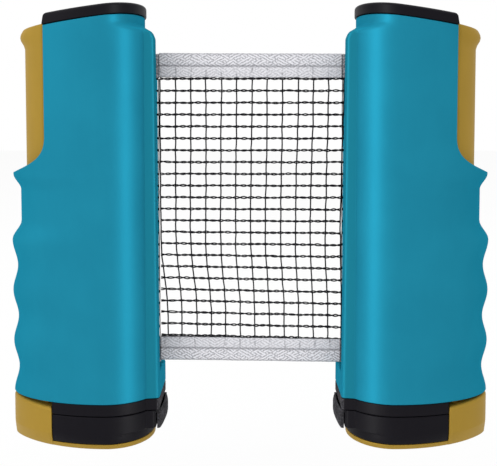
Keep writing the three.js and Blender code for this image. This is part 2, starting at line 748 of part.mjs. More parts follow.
const recoilStations = (() => {
  const steps = recoilTurns * recoilStepsPerTurn;
  const inner = bushFlange + clearance + recoilStrip;
  const outer = cupRadius - cupWall - clearance - recoilStrip;
  const middle = arborBottom + recoilWidth / 2;
  return Array.from({ length: steps + 1 }, (_, i) => {
    const turn = (2 * Math.PI * i) / recoilStepsPerTurn;
    const side = new THREE.Vector3(Math.cos(turn), Math.sin(turn), 0);
    const radius = THREE.MathUtils.lerp(inner, outer, i / steps);
    const centre = side.clone().multiplyScalar(radius).add(new THREE.Vector3(0, 0, middle));
    return { centre, side, up: new THREE.Vector3(0, 0, 1) };
  });
})();
const recoilGap = leastSelfGap(recoilStations, recoilStrip, recoilStepsPerTurn);
console.log("recoil spring: least gap between turns", recoilGap.toFixed(2));

function recoilSpring() {
  const [a, b] = [recoilStrip / 2, recoilWidth / 2];
  return sweep(recoilStations, [[-a, -b], [a, -b], [a, b], [-a, b]]);
}

// ---- Spool --------------------------------------------------------------------------------------------------

function spoolCore() {
  return turned([
    [coreBore, coreBottom], [coreRadius, coreBottom],
    [coreRadius, flangeTop - flangeThickness], [flangeRadius, flangeTop - flangeThickness],
    [flangeRadius, flangeTop], [coreRadius, flangeTop], [coreRadius, coreTop], [coreBore, coreTop],
  ], 14);
}

function springCup() {
  const top = cupFloorBottom + cupHeight;
  return turned([
    [coreBore, cupFloorBottom], [cupRadius, cupFloorBottom], [cupRadius, top],
    [cupRadius - cupWall, top], [cupRadius - cupWall, cupFloorTop], [coreBore, cupFloorTop],
  ], 18);
}

function netRoll() {
  return turned([
    [coreRadius + clearance, netBottom], [rollRadius, netBottom],
    [rollRadius, netTop], [coreRadius + clearance, netTop],
  ], 20);
}

function bush(flangeLow, sleeveLow, sleeveHigh) {
  const bore = axleRadius + clearance;
  const sleeve = coreBore - clearance;
  const flangeHigh = flangeLow + bushFlangeThickness;
  const below = [[bore, sleeveLow], [sleeve, sleeveLow], [sleeve, flangeLow], [bushFlange, flangeLow],
    [bushFlange, flangeHigh], [bore, flangeHigh]];
  const above = [[bore, flangeLow], [bushFlange, flangeLow], [bushFlange, flangeHigh], [sleeve, flangeHigh],
    [sleeve, sleeveHigh], [bore, sleeveHigh]];
  return turned(sleeveLow < flangeLow ? below : above, 10);
}

const lowerBush = () => bush(lowerBushBottom, lowerBushBottom, coreBottom + bushSleeveLength);
const upperBush = () => bush(cupFloorTop + clearance, coreTop - bushSleeveLength, cupFloorTop);
const spoolAxle = () => post(axleRadius, socketFloor + clearance, axleTop, 10);
const springRod = () => (
  post(rodRadius, socketFloor + clearance, springShelfHeight - clampTravel - 6, 10, -springAxis)
);

function springArbor() {
  const bore = axleRadius + clearance;
  return turned([
    [bore, arborBottom], [bushFlange - 0.5, arborBottom], [bushFlange - 0.5, arborTop], [bore, arborTop],
  ], 12);
}

// ---- Net ----------------------------------------------------------------------------------------------------

// The stretch of net inside the post, from the roll to the window.
function netLead() {
  const pathRadius = rollRadius + clearance + netThickness / 2;
  const windowX = spoolSpacing / 2 - netHalfLength - clearance;
  const turn = Math.acos(pathRadius / windowX);
  const start = new THREE.Vector2(pathRadius * Math.cos(turn), pathRadius * Math.sin(turn));
  const end = new THREE.Vector2(windowX, 0);
  const normal = end.clone().sub(start).normalize().rotateAround(new THREE.Vector2(), Math.PI / 2);
  normal.multiplyScalar(netThickness / 2);
  const corners = [
    start.clone().add(normal), start.clone().sub(normal), end.clone().sub(normal), end.clone().add(normal),
  ];
  return skin([netBottom, netTop].map((z) => corners.map(({ x, y }) => [Math.min(x, windowX), y, z])));
}

const meshBottom = netBottom + tapeHeight;
const meshTop = netTop - tapeHeight;
const meshTuck = tapeSlotDepth - clearance;

// Edges of bars and gaps in turn: bar, gap, bar ... bar, over count gaps.
function barEdges(low, high, count, barWidth) {
  const pitch = (high - low - barWidth) / count;
  const edges = [];
  for (let i = 0; i <= count; i++) {
    edges.push(low + i * pitch, low + i * pitch + barWidth);
  }
  return edges;
}

// Upright strands and level cords as one pierced sheet: a cell is open where both its row and column are gaps.
function netMesh() {
  const xs = barEdges(-netHalfLength, netHalfLength, netColumns, strandWidth);
  const zs = barEdges(meshBottom, meshTop, netRows, rowCordWidth);
  zs[0] = meshBottom - meshTuck;
  zs[zs.length - 1] = meshTop + meshTuck;
  const ys = [-netThickness / 2, netThickness / 2];
  const corner = (i, j, k) => (i * zs.length + j) * 2 + k;
  const positions = xs.flatMap((x) => zs.flatMap((z) => ys.flatMap((y) => [x, y, z])));
  const isSolid = (i, j) => (
    i >= 0 && j >= 0 && i < xs.length - 1 && j < zs.length - 1 && !(i % 2 === 1 && j % 2 === 1)
  );
  const index = [];
  const quad = (a, b, c, d) => index.push(a, b, c, a, c, d);
  for (let i = 0; i < xs.length - 1; i++) {
    for (let j = 0; j < zs.length - 1; j++) {
      if (!isSolid(i, j)) continue;
      quad(corner(i, j, 0), corner(i + 1, j, 0), corner(i + 1, j + 1, 0), corner(i, j + 1, 0));
      quad(corner(i, j + 1, 1), corner(i + 1, j + 1, 1), corner(i + 1, j, 1), corner(i, j, 1));
      if (!isSolid(i, j - 1)) {
        quad(corner(i, j, 1), corner(i + 1, j, 1), corner(i + 1, j, 0), corner(i, j, 0));
      }
      if (!isSolid(i, j + 1)) {
        quad(corner(i, j + 1, 0), corner(i + 1, j + 1, 0), corner(i + 1, j + 1, 1), corner(i, j + 1, 1));
      }
      if (!isSolid(i - 1, j)) {
        quad(corner(i, j, 0), corner(i, j + 1, 0), corner(i, j + 1, 1), corner(i, j, 1));
      }
      if (!isSolid(i + 1, j)) {
        quad(corner(i + 1, j, 1), corner(i + 1, j + 1, 1), corner(i + 1, j + 1, 0), corner(i + 1, j, 0));
      }
    }
  }
  const geometry = new THREE.BufferGeometry();
  geometry.setAttribute("position", new THREE.Float32BufferAttribute(positions, 3));
  geometry.setIndex(index);
  return geometry;
}

// A tape folded over the edge of the mesh: edge is the folded side, mouth the side that takes the mesh.
function foldedTape(edge, mouth) {
  const inward = Math.sign(mouth - edge);
  const half = tapeThickness / 2;
  const slot = netThickness / 2 + clearance;
  const slotEnd = mouth - inward * tapeSlotDepth;
  const outline = [
    [-half, edge], [half, edge], [half, mouth], [slot, mouth], [slot, slotEnd], [-slot, slotEnd],
    [-slot, mouth], [-half, mouth],
  ];
  const shape = new THREE.Shape(outline.map(([y, z]) => new THREE.Vector2(y, z)));
  return new THREE.ExtrudeGeometry(shape, { depth: 2 * netHalfLength, bevelEnabled: false })
    .rotateX(Math.PI / 2)
    .rotateZ(Math.PI / 2)
    .translate(-netHalfLength, 0, 0);
}

// ---- Assembly -----------------------------------------------------------------------------------------------

function piece(name, geometry, material) {
  const mesh = new THREE.Mesh(closed(geometry), material);
  mesh.name = name;
  return mesh;
}

// One post's pieces about its spool axis; the right post is the left one mirrored.
function clampPost(side) {
  const isRight = side === "right";
  const group = new THREE.Group();
  group.position.x = ((isRight ? 1 : -1) * spoolSpacing) / 2;
  const add = (name, geometry, material) => {
    const placed = isRight ? geometry.scale(-1, 1, 1) : geometry;
    group.add(piece(`${side}_${name}`, placed, material));
  };
  add("housing_front", housingHalf(false), finish.teal);
  add("housing_rear", housingHalf(true), finish.teal);
  add("top_cap", topCap(), finish.black);
  add("upper_jaw", upperJaw(), finish.black);
  add("upper_jaw_pad", upperJawPad(), finish.rubber);
  add("jaw_slider", jawSlider(), finish.yellow);
  add("lower_jaw_cover", lowerJawCover(), finish.black);
  add("jaw_pad", jawPad(), finish.rubber);
  add("clamp_spring", clampSpring(), finish.steel);
  add("spring_rod", springRod(), finish.steel);
  add("spool_axle", spoolAxle(), finish.steel);
  add("spool_core", spoolCore(), finish.spool);
  add("spring_cup", springCup(), finish.spool);
  add("recoil_spring", recoilSpring(), finish.steel);
  add("spring_arbor", springArbor(), finish.spool);
  add("lower_bush", lowerBush(), finish.spool);
  add("upper_bush", upperBush(), finish.spool);
  add("net_roll", netRoll(), finish.cord);
  add("net_lead", netLead(), finish.cord);
  housingScrewPlaces.forEach((place, i) => add(`housing_screw_${i + 1}`, housingScrew(place), finish.steel));
  jawScrewPlaces.forEach((place, i) => add(`jaw_screw_${i + 1}`, jawScrew(place), finish.steel));
  return group;
}

const net = new THREE.Group();
net.add(piece("net_mesh", netMesh(), finish.cord));
net.add(piece("net_top_tape", foldedTape(netTop, meshTop), finish.tape));
net.add(piece("net_bottom_tape", foldedTape(netBottom, meshBottom), finish.tape));

const model = new THREE.Group();
model.add(clampPost("left"), net, clampPost("right"));
export default model;
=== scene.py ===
# A retractable table tennis net in the studio: two clamp posts, each with a sprung jaw, a thumb slider and a
# spool, and the stretch of net between them. Each post is worked out in its own millimetres about its spool
# axis, +x towards the net, and then set on the frame; the right post is the left one mirrored.
import json
import math

import bpy
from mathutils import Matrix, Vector, noise

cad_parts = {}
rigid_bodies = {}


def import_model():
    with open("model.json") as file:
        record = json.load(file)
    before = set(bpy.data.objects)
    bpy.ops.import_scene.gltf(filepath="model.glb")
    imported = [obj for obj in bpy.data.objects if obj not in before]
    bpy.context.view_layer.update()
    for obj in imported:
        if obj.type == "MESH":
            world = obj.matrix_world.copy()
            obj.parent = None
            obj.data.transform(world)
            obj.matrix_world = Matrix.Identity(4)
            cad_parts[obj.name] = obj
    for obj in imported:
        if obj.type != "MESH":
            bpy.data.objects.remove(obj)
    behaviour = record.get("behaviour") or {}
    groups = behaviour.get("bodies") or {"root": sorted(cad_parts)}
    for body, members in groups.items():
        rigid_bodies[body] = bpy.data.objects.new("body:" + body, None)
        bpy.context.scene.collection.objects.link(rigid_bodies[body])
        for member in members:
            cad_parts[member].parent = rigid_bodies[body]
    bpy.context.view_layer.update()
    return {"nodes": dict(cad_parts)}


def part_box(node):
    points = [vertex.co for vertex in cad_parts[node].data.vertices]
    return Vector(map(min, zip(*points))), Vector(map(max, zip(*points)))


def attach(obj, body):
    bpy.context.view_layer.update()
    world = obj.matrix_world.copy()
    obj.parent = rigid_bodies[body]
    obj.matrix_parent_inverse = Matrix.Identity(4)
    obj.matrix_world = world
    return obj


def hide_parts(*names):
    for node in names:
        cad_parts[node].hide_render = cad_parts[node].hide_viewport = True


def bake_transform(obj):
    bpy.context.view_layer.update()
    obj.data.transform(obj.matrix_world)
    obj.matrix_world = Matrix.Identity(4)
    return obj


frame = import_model()

# ---- Housing shells ----------------------------------------------------------------------------------------
# Each post's housing is a front and a rear shell, moulded in satin teal plastic, that meet on the middle
# plane. The grip side has finger hollows and a long slot for the thumb slider; the net leaves by a window in
# the blunt snout. Four screws pull the shells together from the rear.

MILLIMETRE = 0.001
TOWARDS_NET = {"left": 1, "right": -1}


def span(node, axis):
    """Lowest and highest place of a node along one axis, in millimetres."""
    low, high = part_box(node)
    return low[axis] / MILLIMETRE, high[axis] / MILLIMETRE


spool_axis = {side: sum(span(f"{side}_spool_axle", 0)) / 2 for side in TOWARDS_NET}
housing_bottom = span("left_housing_front", 2)[0]
drum_depth = -span("left_housing_front", 1)[0]
net_bottom, net_top = span("left_net_roll", 2)
spur_height = net_bottom + 89.4
top_height = net_top + 14.4
top_slope = 0.131
shell_wall = 2.5
parting_gap = 0.3
rim_radius = 0.4

grip_fullness = 1.2
grip_reach = 45.4
finger_depth = 1.2
finger_pitch = 23.8
finger_top = housing_bottom + 3 * finger_pitch
waist_reach = 42.2
spur_reach = 45.7
snout_reach = 23.6
shoulder_drop = 1.3
neck_reach = 16.2
shoulder_start = net_top + 4.2
shoulder_end = shoulder_start + 3
snout_lean = 1.5
window_top = shoulder_start + 1.4
lip_hollow = 1.7
grip_wall_factor = 1.24
side_start_depth = 14.6
side_slope = 0.14
snout_corner_radius = 1.75
window_half_width = 10.4
window_bottom = net_bottom - 1.6
window_corner = 2.0
rear_cut_side = 34.0
rear_cut_corner = 30.2
slot_edge = 26.8

side_turn = math.asin(side_start_depth / drum_depth)
window_turn = math.asin(window_half_width / drum_depth)


def mix(low, high, share):
    return low + (high - low) * share


def smooth(low, high, value):
    share = min(max((value - low) / (high - low), 0), 1)
    return share * share * (3 - 2 * share)


def steps(low, high, count):
    return [mix(low, high, i / count) for i in range(count + 1)]


def blunt_snout(share, nose, inset, hollow):
    """Half of the blunt snout: the slanted side and its rounded corner up to share 0.5, then the end face."""
    depth = drum_depth - inset
    start = Vector((depth * math.cos(side_turn), depth * math.sin(side_turn)))
    side = Vector((1, -side_slope)).normalized()
    corner = Vector((nose, start.y - side_slope * (nose - start.x)))
    bend = math.pi / 2 - math.atan(side_slope)
    radius = max(snout_corner_radius - inset * 0.5, 0.4)
    tangent = radius * math.tan(bend / 2)
    side_length = (corner - start).length - tangent
    arc_length = radius * bend
    window_y = window_half_width - inset * 0.5
    flat_length = corner.y - tangent - window_y
    if share > 0.5:
        return nose - hollow * (1 - (2 - share * 2) ** 2), window_y * (1 - share) * 2
    along = share * 2 * (side_length + arc_length + flat_length)
    if along <= side_length:
        point = start + side * along
    elif along <= side_length + arc_length:
        turn = (along - side_length) / radius
        centre = corner - side * tangent + Vector((-side_slope, -1)).normalized() * radius
        outward = math.atan2(1, side_slope) - turn
        point = centre + Vector((math.cos(outward), math.sin(outward))) * radius
    else:
        point = Vector((nose, corner.y - tangent - (along - side_length - arc_length)))
    return point.x, point.y


def plan(s, grip, nose, inset=0.0, fullness=grip_fullness, roundness=0.0, hollow=0.0):
    """Half plan of a post: s runs 0..1 round the grip, 1..2 round the drum and 2..3 over the snout."""
    depth = drum_depth - inset
    if s <= 1:
        turn = s * math.pi / 2
        return -grip * math.cos(turn), depth * math.sin(turn) ** fullness
    if s <= 2:
        turn = mix(math.pi / 2, side_turn, s - 1)
        blunt = (depth * math.cos(turn), depth * math.sin(turn))
    else:
        share = s - 2
        turn = mix(side_turn, window_turn, share * 2) if share < 0.5 else window_turn * (1 - share) * 2
        blunt = blunt_snout(share, nose, inset, hollow) if roundness < 1 else (0, 0)
    rounded = (nose * math.cos(turn), depth * math.sin(turn))
    return mix(blunt[0], rounded[0], roundness), mix(blunt[1], rounded[1], roundness)


def plan_share(grip, x):
    """Where on the grip the plan passes x."""
    return math.acos(min(max(-x / grip, -1), 1)) * 2 / math.pi


def grip_at(z):
    wave = math.cos(2 * math.pi * (min(z, finger_top) - housing_bottom) / finger_pitch)
    fingers = grip_reach + finger_depth * wave
    waist = mix(fingers, waist_reach, smooth(finger_top, finger_top + 9, z))
    return mix(waist, spur_reach, smooth(spur_height - 7, spur_height, z))


def nose_at(z):
    """How far the snout reaches: it leans back a little and rounds over at its shoulder into the neck."""
    height = min((z - housing_bottom) / (shoulder_start - housing_bottom), 1)
    snout = snout_reach - snout_lean * smooth(-0.5, 1.5, height)
    shoulder = snout - shoulder_drop * smooth(shoulder_start + 0.5, shoulder_start + 5, z)
    return mix(shoulder, neck_reach - 0.3, smooth(shoulder_start + 4.4, shoulder_start + 8.2, z))


def roundness_at(z):
    return smooth(shoulder_start + 3.2, shoulder_start + 7.2, z)


def hollow_at(z):
    """How far the face over the window lies back between the two cheeks."""
    return lip_hollow * smooth(shoulder_start - 2, shoulder_start, z)


def top_at(x):
    return top_height + top_slope * x


def shell_form(s, z, is_rear, wall=0.0):
    """Half plan of one shell's outside, or of its inside one wall in. The rear shell rounds over lower."""
    grip = grip_at(z) - wall * grip_wall_factor
    nose, roundness, hollow = nose_at(z), roundness_at(z), hollow_at(z)
    if is_rear:
        nose, hollow = nose - hollow * (1 - roundness), 0.0
        roundness = smooth(shoulder_start - 6, shoulder_start - 0.5, z)
    return plan(s, grip, nose - wall, wall, roundness=roundness, hollow=hollow)


def bezier(points, t):
    weights = ((1 - t) ** 3, 3 * t * (1 - t) ** 2, 3 * t * t * (1 - t), t ** 3)
    return sum((Vector(point) * weight for point, weight in zip(points, weights)), Vector((0, 0)))


slot_curve = (
    (-spur_reach - 0.6, spur_height + 0.5),
    (-slot_edge - 6.2, spur_height + 5.4),
    (-slot_edge, spur_height + 7.9),
    (-slot_edge, spur_height + 17.5),
)


def slot_rim():
    """The foot of the thumb slot, drawn in by the rim's radius: pairs of plan share and height."""
    rim = []
    for t in steps(0, 1, 26):
        before, here, after = (bezier(slot_curve, min(max(t + d, 0), 1)) for d in (-0.01, 0, 0.01))
        along = (after - before).normalized()
        point = here + Vector((along.y, -along.x)) * rim_radius
        if -point.x < spur_reach:
            rim.append((plan_share(spur_reach, point.x), point.y))
    return [(0.0, rim[0][1] - 0.1)] + rim


def thinned(shares):
    kept = [shares[0]]
    for share in shares[1:]:
        if share > kept[-1] + 1e-6:
            kept.append(share)
    return kept


def sheet_of(blocks):
    """Joins blocks of rows of (s, z) places into one list of places and one of four-cornered faces."""
    places, number, faces = [], {}, []

    def index(place):
        key = (round(place[0], 5), round(place[1], 4))
        if key not in number:
            number[key] = len(places)
            places.append(place)
        return number[key]

    for rows in blocks:
        for low, high in zip(rows, rows[1:]):
            for i in range(len(low) - 1):
                corners = [index(low[i]), index(low[i + 1]), index(high[i + 1]), index(high[i])]
                face = [c for k, c in enumerate(corners) if c != corners[k - 1]]
                if len(face) > 2:
                    faces.append(face)
    return places, faces


def shell_sheet(is_rear):
    """Outer face of one shell as blocks of places: under the slot, the drum, below the net and above it."""
    low = housing_bottom + rim_radius
    first = 2 / math.pi * math.asin(((parting_gap / 2 + rim_radius) / drum_depth) ** (1 / grip_fullness))
    last = 3 - (parting_gap / 2 + rim_radius) / window_half_width * 0.5
    rim = [(max(s, first), z) for s, z in slot_rim()]
    slot_share, slot_foot = rim[-1]
    warp_start = finger_top
    heights = (
        steps(low, finger_top, 54)[:-1] + steps(finger_top, spur_height - 7, 10)[:-1]
        + steps(spur_height - 7, slot_foot, 26)[:-1] + steps(slot_foot, shoulder_start - 1, 12)[:-1]
        + steps(shoulder_start - 1, shoulder_end, 16)
    )
    if is_rear:
        edge = 2 + 0.5 * 0.286
        foot_top = rear_cut_side
    else:
        edge = 2.5
        foot_top = window_bottom + window_corner
    head_low = window_top - window_corner
    heights = sorted({round(z, 4) for z in heights + [round(foot_top, 4), round(head_low, 4)]})
    top_rows = 26

    def cap_rows(s, heights_here):
        start = heights_here[-1]
        column = list(heights_here)
        for share in steps(0, 1, top_rows)[1:]:
            z = start
            for _ in range(4):
                x = shell_form(s, z, is_rear)[0]
                z = mix(start, top_at(x) - rim_radius, share)
            column.append(z)
        return column

    def rows_from(columns):
        return [[(s, column[k]) for s, column in columns] for k in range(len(columns[0][1]))]

    rim_shares = thinned([s for s, _ in rim])
    rim_heights = dict(rim)
    low_shares = thinned(sorted(set(
        [s for s in steps(first, rim_shares[1], 3)] + rim_shares
    )))

    def rim_height(s):
        for (a, za), (b, zb) in zip(rim, rim[1:]):
            if a <= s <= b and b > a:
                return mix(za, zb, (s - a) / (b - a))
        return rim_heights.get(s, slot_foot)

    below_slot = [z for z in heights if z <= slot_foot + 1e-4]
    grip_columns = []
    for s in low_shares:
        peak = rim_height(s) if s < slot_share else slot_foot
        column = [
            z if z <= warp_start
            else warp_start + (z - warp_start) * (peak - warp_start) / (slot_foot - warp_start)
            for z in below_slot
        ]
        grip_columns.append((s, column))

    drum_shares = thinned(
        steps(slot_share, 1, 12)[:-1] + steps(1, 2, 13)[:-1] + steps(2, edge, 4 if is_rear else 15)
    )
    drum_columns = [(s, cap_rows(s, heights)) for s in drum_shares]

    foot_shares = (
        steps(edge, 2.5, 11)[:-1] + steps(2.5, last, 8) if is_rear
        else [2.5 + 0.5 * share for share in (0, 0.02, 0.05, 0.09, 0.14, 0.2, 0.35, 0.6)] + [last]
    )
    foot_heights = [z for z in heights if z <= foot_top + 1e-4]
    foot_columns = []
    for s in foot_shares:
        y = shell_form(s, foot_top, is_rear)[1]
        if is_rear:
            side = smooth(0, 1, (s - edge) / (2.42 - edge)) if s < 2.42 else 1
            peak = mix(rear_cut_side, rear_cut_corner, side ** 0.5)
            peak = mix(peak, window_bottom + 0.2, smooth(2.42, last, s)) - rim_radius
            if s == edge:
                peak = rear_cut_side
        else:
            inward = min((window_half_width - y) / window_corner, 1)
            peak = window_bottom - rim_radius + (window_corner + rim_radius) * (
                1 - math.sqrt(1 - (1 - inward) ** 2)
            )
            if s == edge:
                peak = foot_top
        column = [mix(low, peak, (z - low) / (foot_top - low)) for z in foot_heights]
        foot_columns.append((s, column))

    head_heights = [z for z in heights if z >= head_low - 1e-4]
    head_columns = []
    head_half_width = shell_form(edge, window_top, is_rear)[1]
    for s in foot_shares:
        floor = head_low
        if s > edge:
            y = shell_form(s, window_top, is_rear)[1]
            inward = min((head_half_width - y) / window_corner, 1)
            floor = window_top + rim_radius
            floor -= (window_corner + rim_radius) * (1 - math.sqrt(1 - (1 - inward) ** 2))
        column = cap_rows(s, head_heights)
        peak = column[-1]
        column = [peak - (peak - z) * (peak - floor) / (peak - head_low) for z in column]
        head_columns.append((s, column))
    return sheet_of([rows_from(c) for c in (grip_columns, drum_columns, foot_columns, head_columns)])


def boundary_loops(faces):
    """Loops of corners round the open edges of a sheet, in the faces' own sense."""
    following = {}
    edges = {(face[i - 1], face[i]) for face in faces for i in range(len(face))}
    for a, b in edges:
        if (b, a) not in edges:
            following[a] = b
    loops = []
    while following:
        start, corner = following.popitem()
        loop = [start]
        while corner != start:
            loop.append(corner)
            corner = following.pop(corner)
        loops.append(loop)
    return loops


def walled(outer, inner, faces, radius, arc_steps=3):
    """Closes a sheet and its inner face into a wall whose rim is rounded on both edges."""
    count = len(outer)
    points = [Vector(p) for p in outer] + [Vector(p) for p in inner]
    closed_faces = [list(face) for face in faces] + [[count + c for c in reversed(face)] for face in faces]
    normals = [Vector() for _ in outer]
    for face in faces:
        a, b, c = (points[face[k]] for k in (0, 1, -1))
        normal = (b - a).cross(c - a)
        for corner in face:
            normals[corner] += normal
    for loop in boundary_loops(faces):
        rings = []
        for i, corner in enumerate(loop):
            here = points[corner]
            normal = normals[corner].normalized()
            before = (here - points[loop[i - 1]]).normalized()
            after = (points[loop[(i + 1) % len(loop)]] - here).normalized()
            out_before, out_after = before.cross(normal).normalized(), after.cross(normal).normalized()
            push = (out_before + out_after) / max(1 + out_before.dot(out_after), 0.6)
            ring = [corner]
            turns = [k * math.pi / 2 / arc_steps for k in range(1, arc_steps + 1)]
            for turn in turns:
                points.append(here + push * radius * math.sin(turn) - normal * radius * (1 - math.cos(turn)))
                ring.append(len(points) - 1)
            back = points[count + corner]
            for turn in reversed(turns):
                points.append(back + push * radius * math.sin(turn) + normal * radius * (1 - math.cos(turn)))
                ring.append(len(points) - 1)
            ring.append(count + corner)
            rings.append(ring)
        for ring, following in zip(rings, rings[1:] + rings[:1]):
            for k in range(len(ring) - 1):
                closed_faces.append([ring[k], ring[k + 1], following[k + 1], following[k]])
    return points, closed_faces


def piece_mesh(name, side, points, faces):
    """A smooth-shaded object from points in the post's own millimetres, with its faces turned outwards."""
    facing = TOWARDS_NET[side]
    placed = [
        Vector((spool_axis[side] + facing * p[0], p[1], p[2])) * MILLIMETRE for p in points
    ]
    volume = 0
    for face in faces:
        for i in range(1, len(face) - 1):
            volume += placed[face[0]].dot(placed[face[i]].cross(placed[face[i + 1]]))
    if volume < 0:
        faces = [list(reversed(face)) for face in faces]
    mesh = bpy.data.meshes.new(name)
    mesh.from_pydata(placed, [], faces)
    mesh.shade_smooth()
    piece = bpy.data.objects.new(name, mesh)
    bpy.context.collection.objects.link(piece)
    return piece


def settled(piece):
    """Bakes a piece's modifiers into a plain mesh."""
    evaluated = piece.evaluated_get(bpy.context.evaluated_depsgraph_get())
    mesh = bpy.data.meshes.new_from_object(evaluated)
    old = piece.data
    piece.modifiers.clear()
    piece.data = mesh
    bpy.data.meshes.remove(old)
    return piece


def even_shading(piece):
    shading = piece.modifiers.new("even shading", "WEIGHTED_NORMAL")
    shading.weight = 50
    shading.keep_sharp = True


def ring_points(x, y, z, radius, count, axis="y"):
    points = []
    for i in range(count):
        turn = 2 * math.pi * i / count
        a, b = radius * math.cos(turn), radius * math.sin(turn)
        points.append((x + a, y, z + b) if axis == "y" else (x + a, y + b, z))
    return points


def loft(rings, is_capped=True):
    """Skins a stack of closed rings of points and caps its two ends."""
    points = [point for ring in rings for point in ring]
    count = len(rings[0])
    faces = []
    for level in range(len(rings) - 1):
        for i in range(count):
            j = (i + 1) % count
            faces.append([
                level * count + i, level * count + j, (level + 1) * count + j, (level + 1) * count + i,
            ])
    if is_capped:
        faces.append(list(reversed(range(count))))
        faces.append([(len(rings) - 1) * count + i for i in range(count)])
    return points, faces


def cut_from(piece, side, solids, operation="DIFFERENCE"):
    """Takes lofted solids away from a piece, or joins them to it, one after the other."""
    for i, (points, faces) in enumerate(solids):
        cutter = piece_mesh(f"{piece.name}_cutter_{i}", side, points, faces)
        change = piece.modifiers.new("cut", "BOOLEAN")
        change.operation = operation
        change.solver = "EXACT"
        change.object = cutter
        settled(piece)
        bpy.data.objects.remove(cutter)


class Wire:
    """An output in a node tree. Python arithmetic on it adds Math nodes."""

    def __init__(self, tree, socket=None):
        self.tree = tree
        self.socket = socket

    def node(self, kind, settings=None, values=None, output=0):
        """Adds any other node: its settings first, then the values or links of its sockets."""
        made = self.tree.nodes.new(kind)
        for name, value in (settings or {}).items():
            if name == "stops":
                ramp = made.color_ramp
                while len(ramp.elements) < len(value):
                    ramp.elements.new(1)
                for element, (place, tone) in zip(ramp.elements, value):
                    element.position, element.color = place, tone
            else:
                setattr(made, name, value)
        for name, value in (values or {}).items():
            for part in value if isinstance(value, list) else [value]:
                if isinstance(part, Wire):
                    self.tree.links.new(part.socket, made.inputs[name])
                else:
                    made.inputs[name].default_value = part
        return Wire(self.tree, made.outputs[output])

    def maths(self, operation, first, second=0.0, third=0.0):
        return self.node("ShaderNodeMath", {"operation": operation}, {0: first, 1: second, 2: third})

    def __add__(self, other):
        return self.maths("ADD", self, other)

    def __sub__(self, other):
        return self.maths("SUBTRACT", self, other)

    def __rsub__(self, other):
        return self.maths("SUBTRACT", other, self)

    def __mul__(self, other):
        return self.maths("MULTIPLY", self, other)

    def __truediv__(self, other):
        return self.maths("DIVIDE", self, other)

    def __pow__(self, other):
        return self.maths("POWER", self, other)

    __radd__ = __add__
    __rmul__ = __mul__

    def sine(self):
        return self.maths("SINE", self)

    def clipped(self, low=0.0, high=1.0):
        return self.maths("MINIMUM", self.maths("MAXIMUM", self, low), high)

    def step(self, low, high):
        """Smooth step from 0 at low to 1 at high."""
        return self.node(
            "ShaderNodeMapRange", {"interpolation_type": "SMOOTHSTEP"}, {0: self, 1: low, 2: high},
        )

    def blend(self, first, second):
        """Mixes two colours, with this as the share of the second."""
        return self.node("ShaderNodeMix", {"data_type": "RGBA"}, {0: self, 6: first, 7: second}, 2)


def colour(red, green, blue):
    """A colour given as 0 to 255 display values, in linear light."""
    def linear(value):
        value /= 255
        return value / 12.92 if value <= 0.04045 else ((value + 0.055) / 1.055) ** 2.4

    return linear(red), linear(green), linear(blue), 1.0


def new_finish(name):
    """A material whose tree holds only its output, and the wire that its nodes are added by."""
    material = bpy.data.materials.new(name)
    material.use_nodes = True
    material.node_tree.nodes.clear()
    return material, Wire(material.node_tree)


def place_of(wire):
    """Position on the object in millimetres, as a vector and as its three parts."""
    place = wire.node("ShaderNodeTexCoord", output="Object")
    scaled = wire.node("ShaderNodeVectorMath", {"operation": "SCALE"}, {0: place, "Scale": 1000.0})
    parts = scaled.tree.nodes.new("ShaderNodeSeparateXYZ")
    scaled.tree.links.new(scaled.socket, parts.inputs[0])
    return scaled, [Wire(scaled.tree, output) for output in parts.outputs]


def noise_on(place, size, detail=2.0, roughness=0.5, stretch=(1, 1, 1)):
    """Even noise with grains of a size in millimetres."""
    scaled = place.node(
        "ShaderNodeVectorMath", {"operation": "MULTIPLY"}, {0: place, 1: tuple(s / size for s in stretch)},
    )
    return place.node(
        "ShaderNodeTexNoise", None,
        {"Vector": scaled, "Scale": 1.0, "Detail": detail, "Roughness": roughness},
    )


def finish_with(material, base, roughness, bump=None, bump_depth=0.02, **constants):
    """Ends a material in a Principled shader; bump is a height, bump_depth its depth in millimetres."""
    tree = material.node_tree
    shader = tree.nodes.new("ShaderNodeBsdfPrincipled")
    shader.inputs["IOR"].default_value = 1.5
    for name, value in constants.items():
        shader.inputs[name.replace("_", " ")].default_value = value
    for name, value in (("Base Color", base), ("Roughness", roughness)):
        if isinstance(value, Wire):
            tree.links.new(value.socket, shader.inputs[name])
        else:
            shader.inputs[name].default_value = value
    if bump is not None:
        relief = bump.node(
            "ShaderNodeBump", None, {"Strength": 1.0, "Distance": bump_depth * MILLIMETRE, "Height": bump},
        )
        tree.links.new(relief.socket, shader.inputs["Normal"])
    output = tree.nodes.new("ShaderNodeOutputMaterial")
    tree.links.new(shader.outputs[0], output.inputs[0])
    return material


def satin_plastic(name, tone, dark_tone, roughness, grain_depth=0.006, snout_shade_tone=None, **constants):
    """Moulded plastic: an even colour with faint clouding, a fine spark-eroded grain and a few rub marks.
    Given a shade tone, it paints shade in a band down the snout's two sides.
    """
    material, wire = new_finish(name)
    place, (along, _, _) = place_of(wire)
    clouds = noise_on(place, 24.0, 3.0)
    grain = noise_on(place, 0.35, 2.0)
    rubs = noise_on(place, 5.0, 4.0, 0.65, (1, 1, 0.22))
    base = (clouds * 0.7 + rubs * 0.3).step(0.3, 0.75).blend(dark_tone, tone)
    # Painted shade: a band 42 to 49 mm out from the middle, down the snout's two sides, is darkened to the
    # shade tone.
    if snout_shade_tone:
        from_middle = wire.maths("ABSOLUTE", along)
        base = (from_middle.step(49.0, 46.6) * from_middle.step(42.2, 42.8)).blend(base, snout_shade_tone)
    shine = (clouds - 0.5) * 0.05 + (rubs - 0.5) * 0.09 + roughness
    return finish_with(material, base, shine, grain, grain_depth, **constants)
